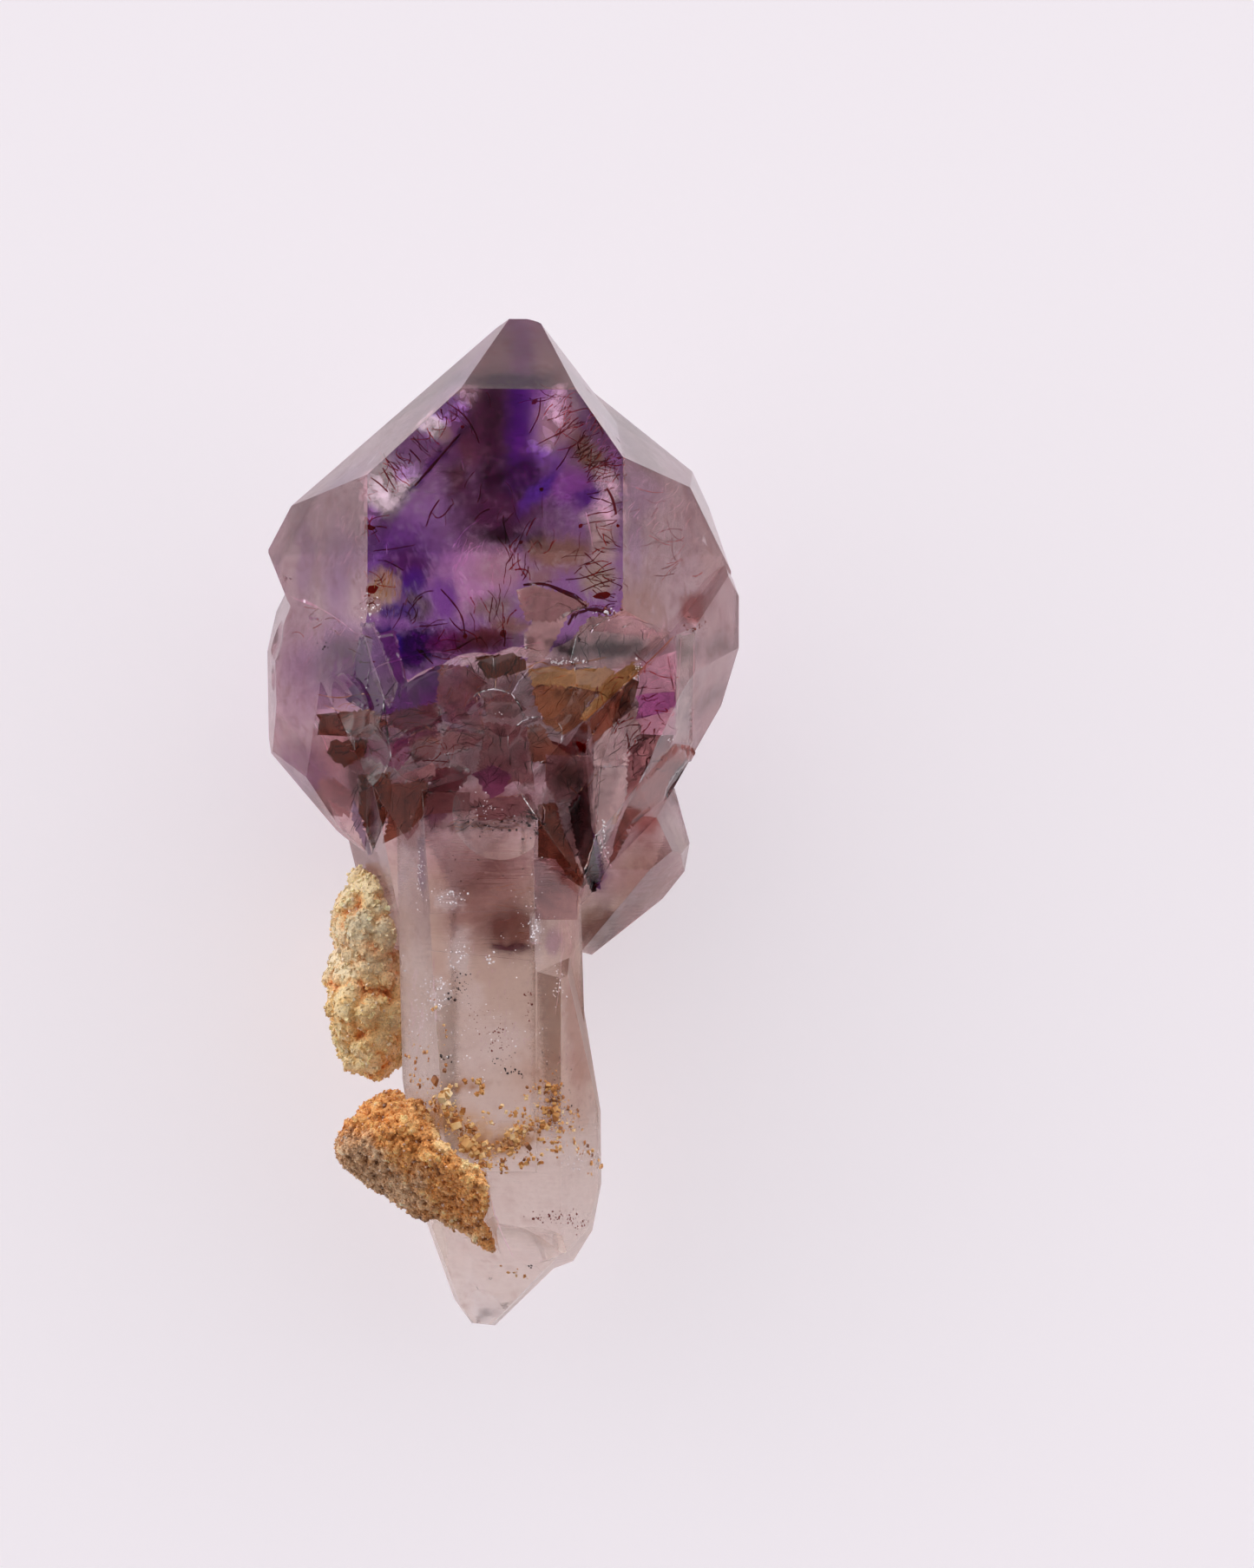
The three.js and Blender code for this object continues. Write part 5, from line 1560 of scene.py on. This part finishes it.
def facet_tint(offsets, outline, tone, luck):
    """Share of light let through at the corners of a facet's triangles, from their pixels off its middle."""
    lined = offsets @ np.array(Matrix.Rotation(luck[4] * math.pi, 2)) / PIXELS_A_MM
    depth = np.full(lined.shape[:2] + (1,), 9.0 * luck[3])
    stripes = rough_at(np.concatenate([lined / FACET_STREAK, depth], axis=2).reshape(-1, 3), 1.0, 2)
    across = np.clip(offsets @ luck[:2] / np.std(outline, axis=0).max(), -1.5, 1.5)
    slant = 1 + 0.55 * stripes.reshape(lined.shape[:2]) + 0.36 * across + 0.16 * luck[3]
    return passing(*TONES[tone]) * FACET_WARMTH * slant[:, :, None]


def paint(piece):
    """Works out the share of light that each corner of the crystal's triangles lets through, and its frost.

    The window and the facets each have their own colours, and the shadows lie over everything.
    """
    data = piece.data
    points = read(data.vertices, "co", 3) / MM
    outward = read(data.vertices, "normal", 3)[:, 2]
    corners = read(data.loops, "vertex_index", 1, np.int64).reshape(-1, 3)
    facing = read(data.polygons, "normal", 3)[:, 2]
    upward = between(outward, -0.5, 0.15)
    seen = seen_at(points)
    centres = seen_at(points[corners].mean(axis=1))
    waves = np.stack([rough_at(points, 1.5, 5, 3.1 * i, 0.7) for i in range(2)], axis=1)
    wavy = seen + waves * 0.7 * PIXELS_A_MM
    frost = frost_at(points, wavy)
    tint, grain = body_tint(points, seen, wavy, upward, frost)
    shade = tint[corners]
    here = (facing > WINDOW_FACING) & inside(centres, WINDOW)
    shade[here] = window_tint(points, wavy)[corners[here]]
    for (tone, outline), luck in zip(FACETS, FACET_LUCK):
        here = (facing > FACET_FACING) & inside(centres, outline)
        offsets = seen[corners[here]] - np.mean(outline, axis=0)
        shade[here] = facet_tint(offsets, outline, tone, luck) * grain[corners[here]][:, :, None]
    shade = shade * shadow_at(wavy)[corners]
    sides = between(outward, 0.45, 0.15) * between(points[:, 1], 0.0, -6.0)
    frosty = np.maximum(frost * upward, sides * 0.9)
    store(data, "passes", "CORNER", shade.reshape(-1, 3))
    store(data, "frost", "POINT", np.repeat(frosty[:, None], 3, axis=1))


# The whole scepter

body = crystal_copy("quartz_scepter", "scepter_crystal", 0.05 * MM)
body_mesh = shown_mesh(body)
tree = BVHTree.FromBMesh(body_mesh)
body_mesh.free()
paint(body)
body.data.materials.append(quartz_material())
zones()
fibres(tree)
threads(tree)
flakes(tree)
veils(tree)
dust(tree, BLACK_SPECKS, "black_specks", plain_material("dark_speck", rgb(48, 34, 36)))
dust(tree, RED_SPECKS, "red_specks", plain_material("rust_speck", rgb(128, 52, 40)))
# The frosted chips glow a little: painted light.
dust(tree, FROST, "frosted_chips", plain_material("frost", rgb(244, 236, 240), 0.4, 0.12, 0.85), -0.06)
stem_crust(tree)
crust_lump("upper_crust", 1.8, 1.1, 5200, 0.08, 0.34, upper_tone, 3)
crust_lump("lower_crust", 1.1, 0.34, 9000, 0.07, 0.24, lower_tone, 9)


# Floor, light and camera

FLOOR_SIZE, FLOOR_Z = 3.0, -0.05 * MM


def floor():
    """Pale paper under the scepter."""
    data = bpy.data.meshes.new("floor")
    corners = [(-1, -1), (1, -1), (1, 1), (-1, 1)]
    data.from_pydata([(x * FLOOR_SIZE, y * FLOOR_SIZE, FLOOR_Z) for x, y in corners], [], [(0, 1, 2, 3)])
    g = Graph(bpy.data.materials.new("floor_paper"))
    g.owner.cycles.emission_sampling = "NONE"
    data.materials.append(g.end(g.node("ShaderNodeBsdfPrincipled", {
        "Base Color": (0.62, 0.58, 0.615, 1.0),
        "Emission Color": (1.0, 0.945, 1.0, 1.0),
        "Emission Strength": 0.455,
        "Roughness": 0.9,
        "Specular IOR Level": 0.1,
    })))
    placed("floor", data)


# Light from the sky, by its angle from straight up in degrees
SKY = [(0, 0.07), (17, 0.09), (32, 0.42), (50, 0.68), (72, 1.95), (90, 2.10)]
# How much stronger the sky is on the side of the stem and on the side of the tip
NEAR_SIDE, FAR_SIDE = 0.42, 2.95


def sky():
    """Light from all round, less of it from the near side, and a dark patch overhead where the camera is."""
    g = Graph(bpy.data.worlds.new("light tent"))
    split = g.node("ShaderNodeSeparateXYZ", {0: g.node("ShaderNodeTexCoord").outputs["Generated"]})
    ramp = g.node("ShaderNodeValToRGB", {0: split.outputs["Z"]})
    ramp.color_ramp.interpolation = "EASE"
    brightest = max(strength for _, strength in SKY)
    stops = ramp.color_ramp.elements
    stops.remove(stops[1])
    for i, (angle, strength) in enumerate(SKY):
        stop = stops[0] if i == 0 else stops.new(0.0)
        stop.position = math.cos(math.radians(angle))
        stop.color = (strength / brightest,) * 3 + (1.0,)
    side = g.ramp(split.outputs["Y"], -0.55, 0.35, NEAR_SIDE, FAR_SIDE)
    strength = g.math("MULTIPLY", ramp.outputs["Color"], side)
    light = g.node("ShaderNodeBackground", {"Strength": strength, "Color": (1.0, 0.985, 1.0, 1.0)})
    g.node("ShaderNodeOutputWorld", {"Surface": light.outputs[0]})
    g.owner.cycles.sampling_method = "NONE"
    bpy.context.scene.world = g.owner


SENSOR = 36.0


def camera():
    """Camera straight above, with the photograph's frame."""
    data = bpy.data.cameras.new("camera")
    data.sensor_fit = "VERTICAL"
    data.sensor_height = SENSOR
    data.sensor_width = SENSOR * FRAME_WIDTH / FRAME_HEIGHT
    data.lens = SENSOR * CAMERA_AT.z / (FRAME_MM * MM)
    data.clip_start = 0.01
    data.clip_end = 20.0
    piece = placed("camera", data)
    piece.location = CAMERA_AT
    bpy.context.scene.camera = piece


floor()
sky()
camera()
scene = bpy.context.scene
scene.view_settings.view_transform = "Standard"
scene.cycles.max_bounces = 12
scene.cycles.transmission_bounces = 12
scene.cycles.glossy_bounces = 6
scene.cycles.transparent_max_bounces = 64
scene.cycles.blur_glossy = 0.3
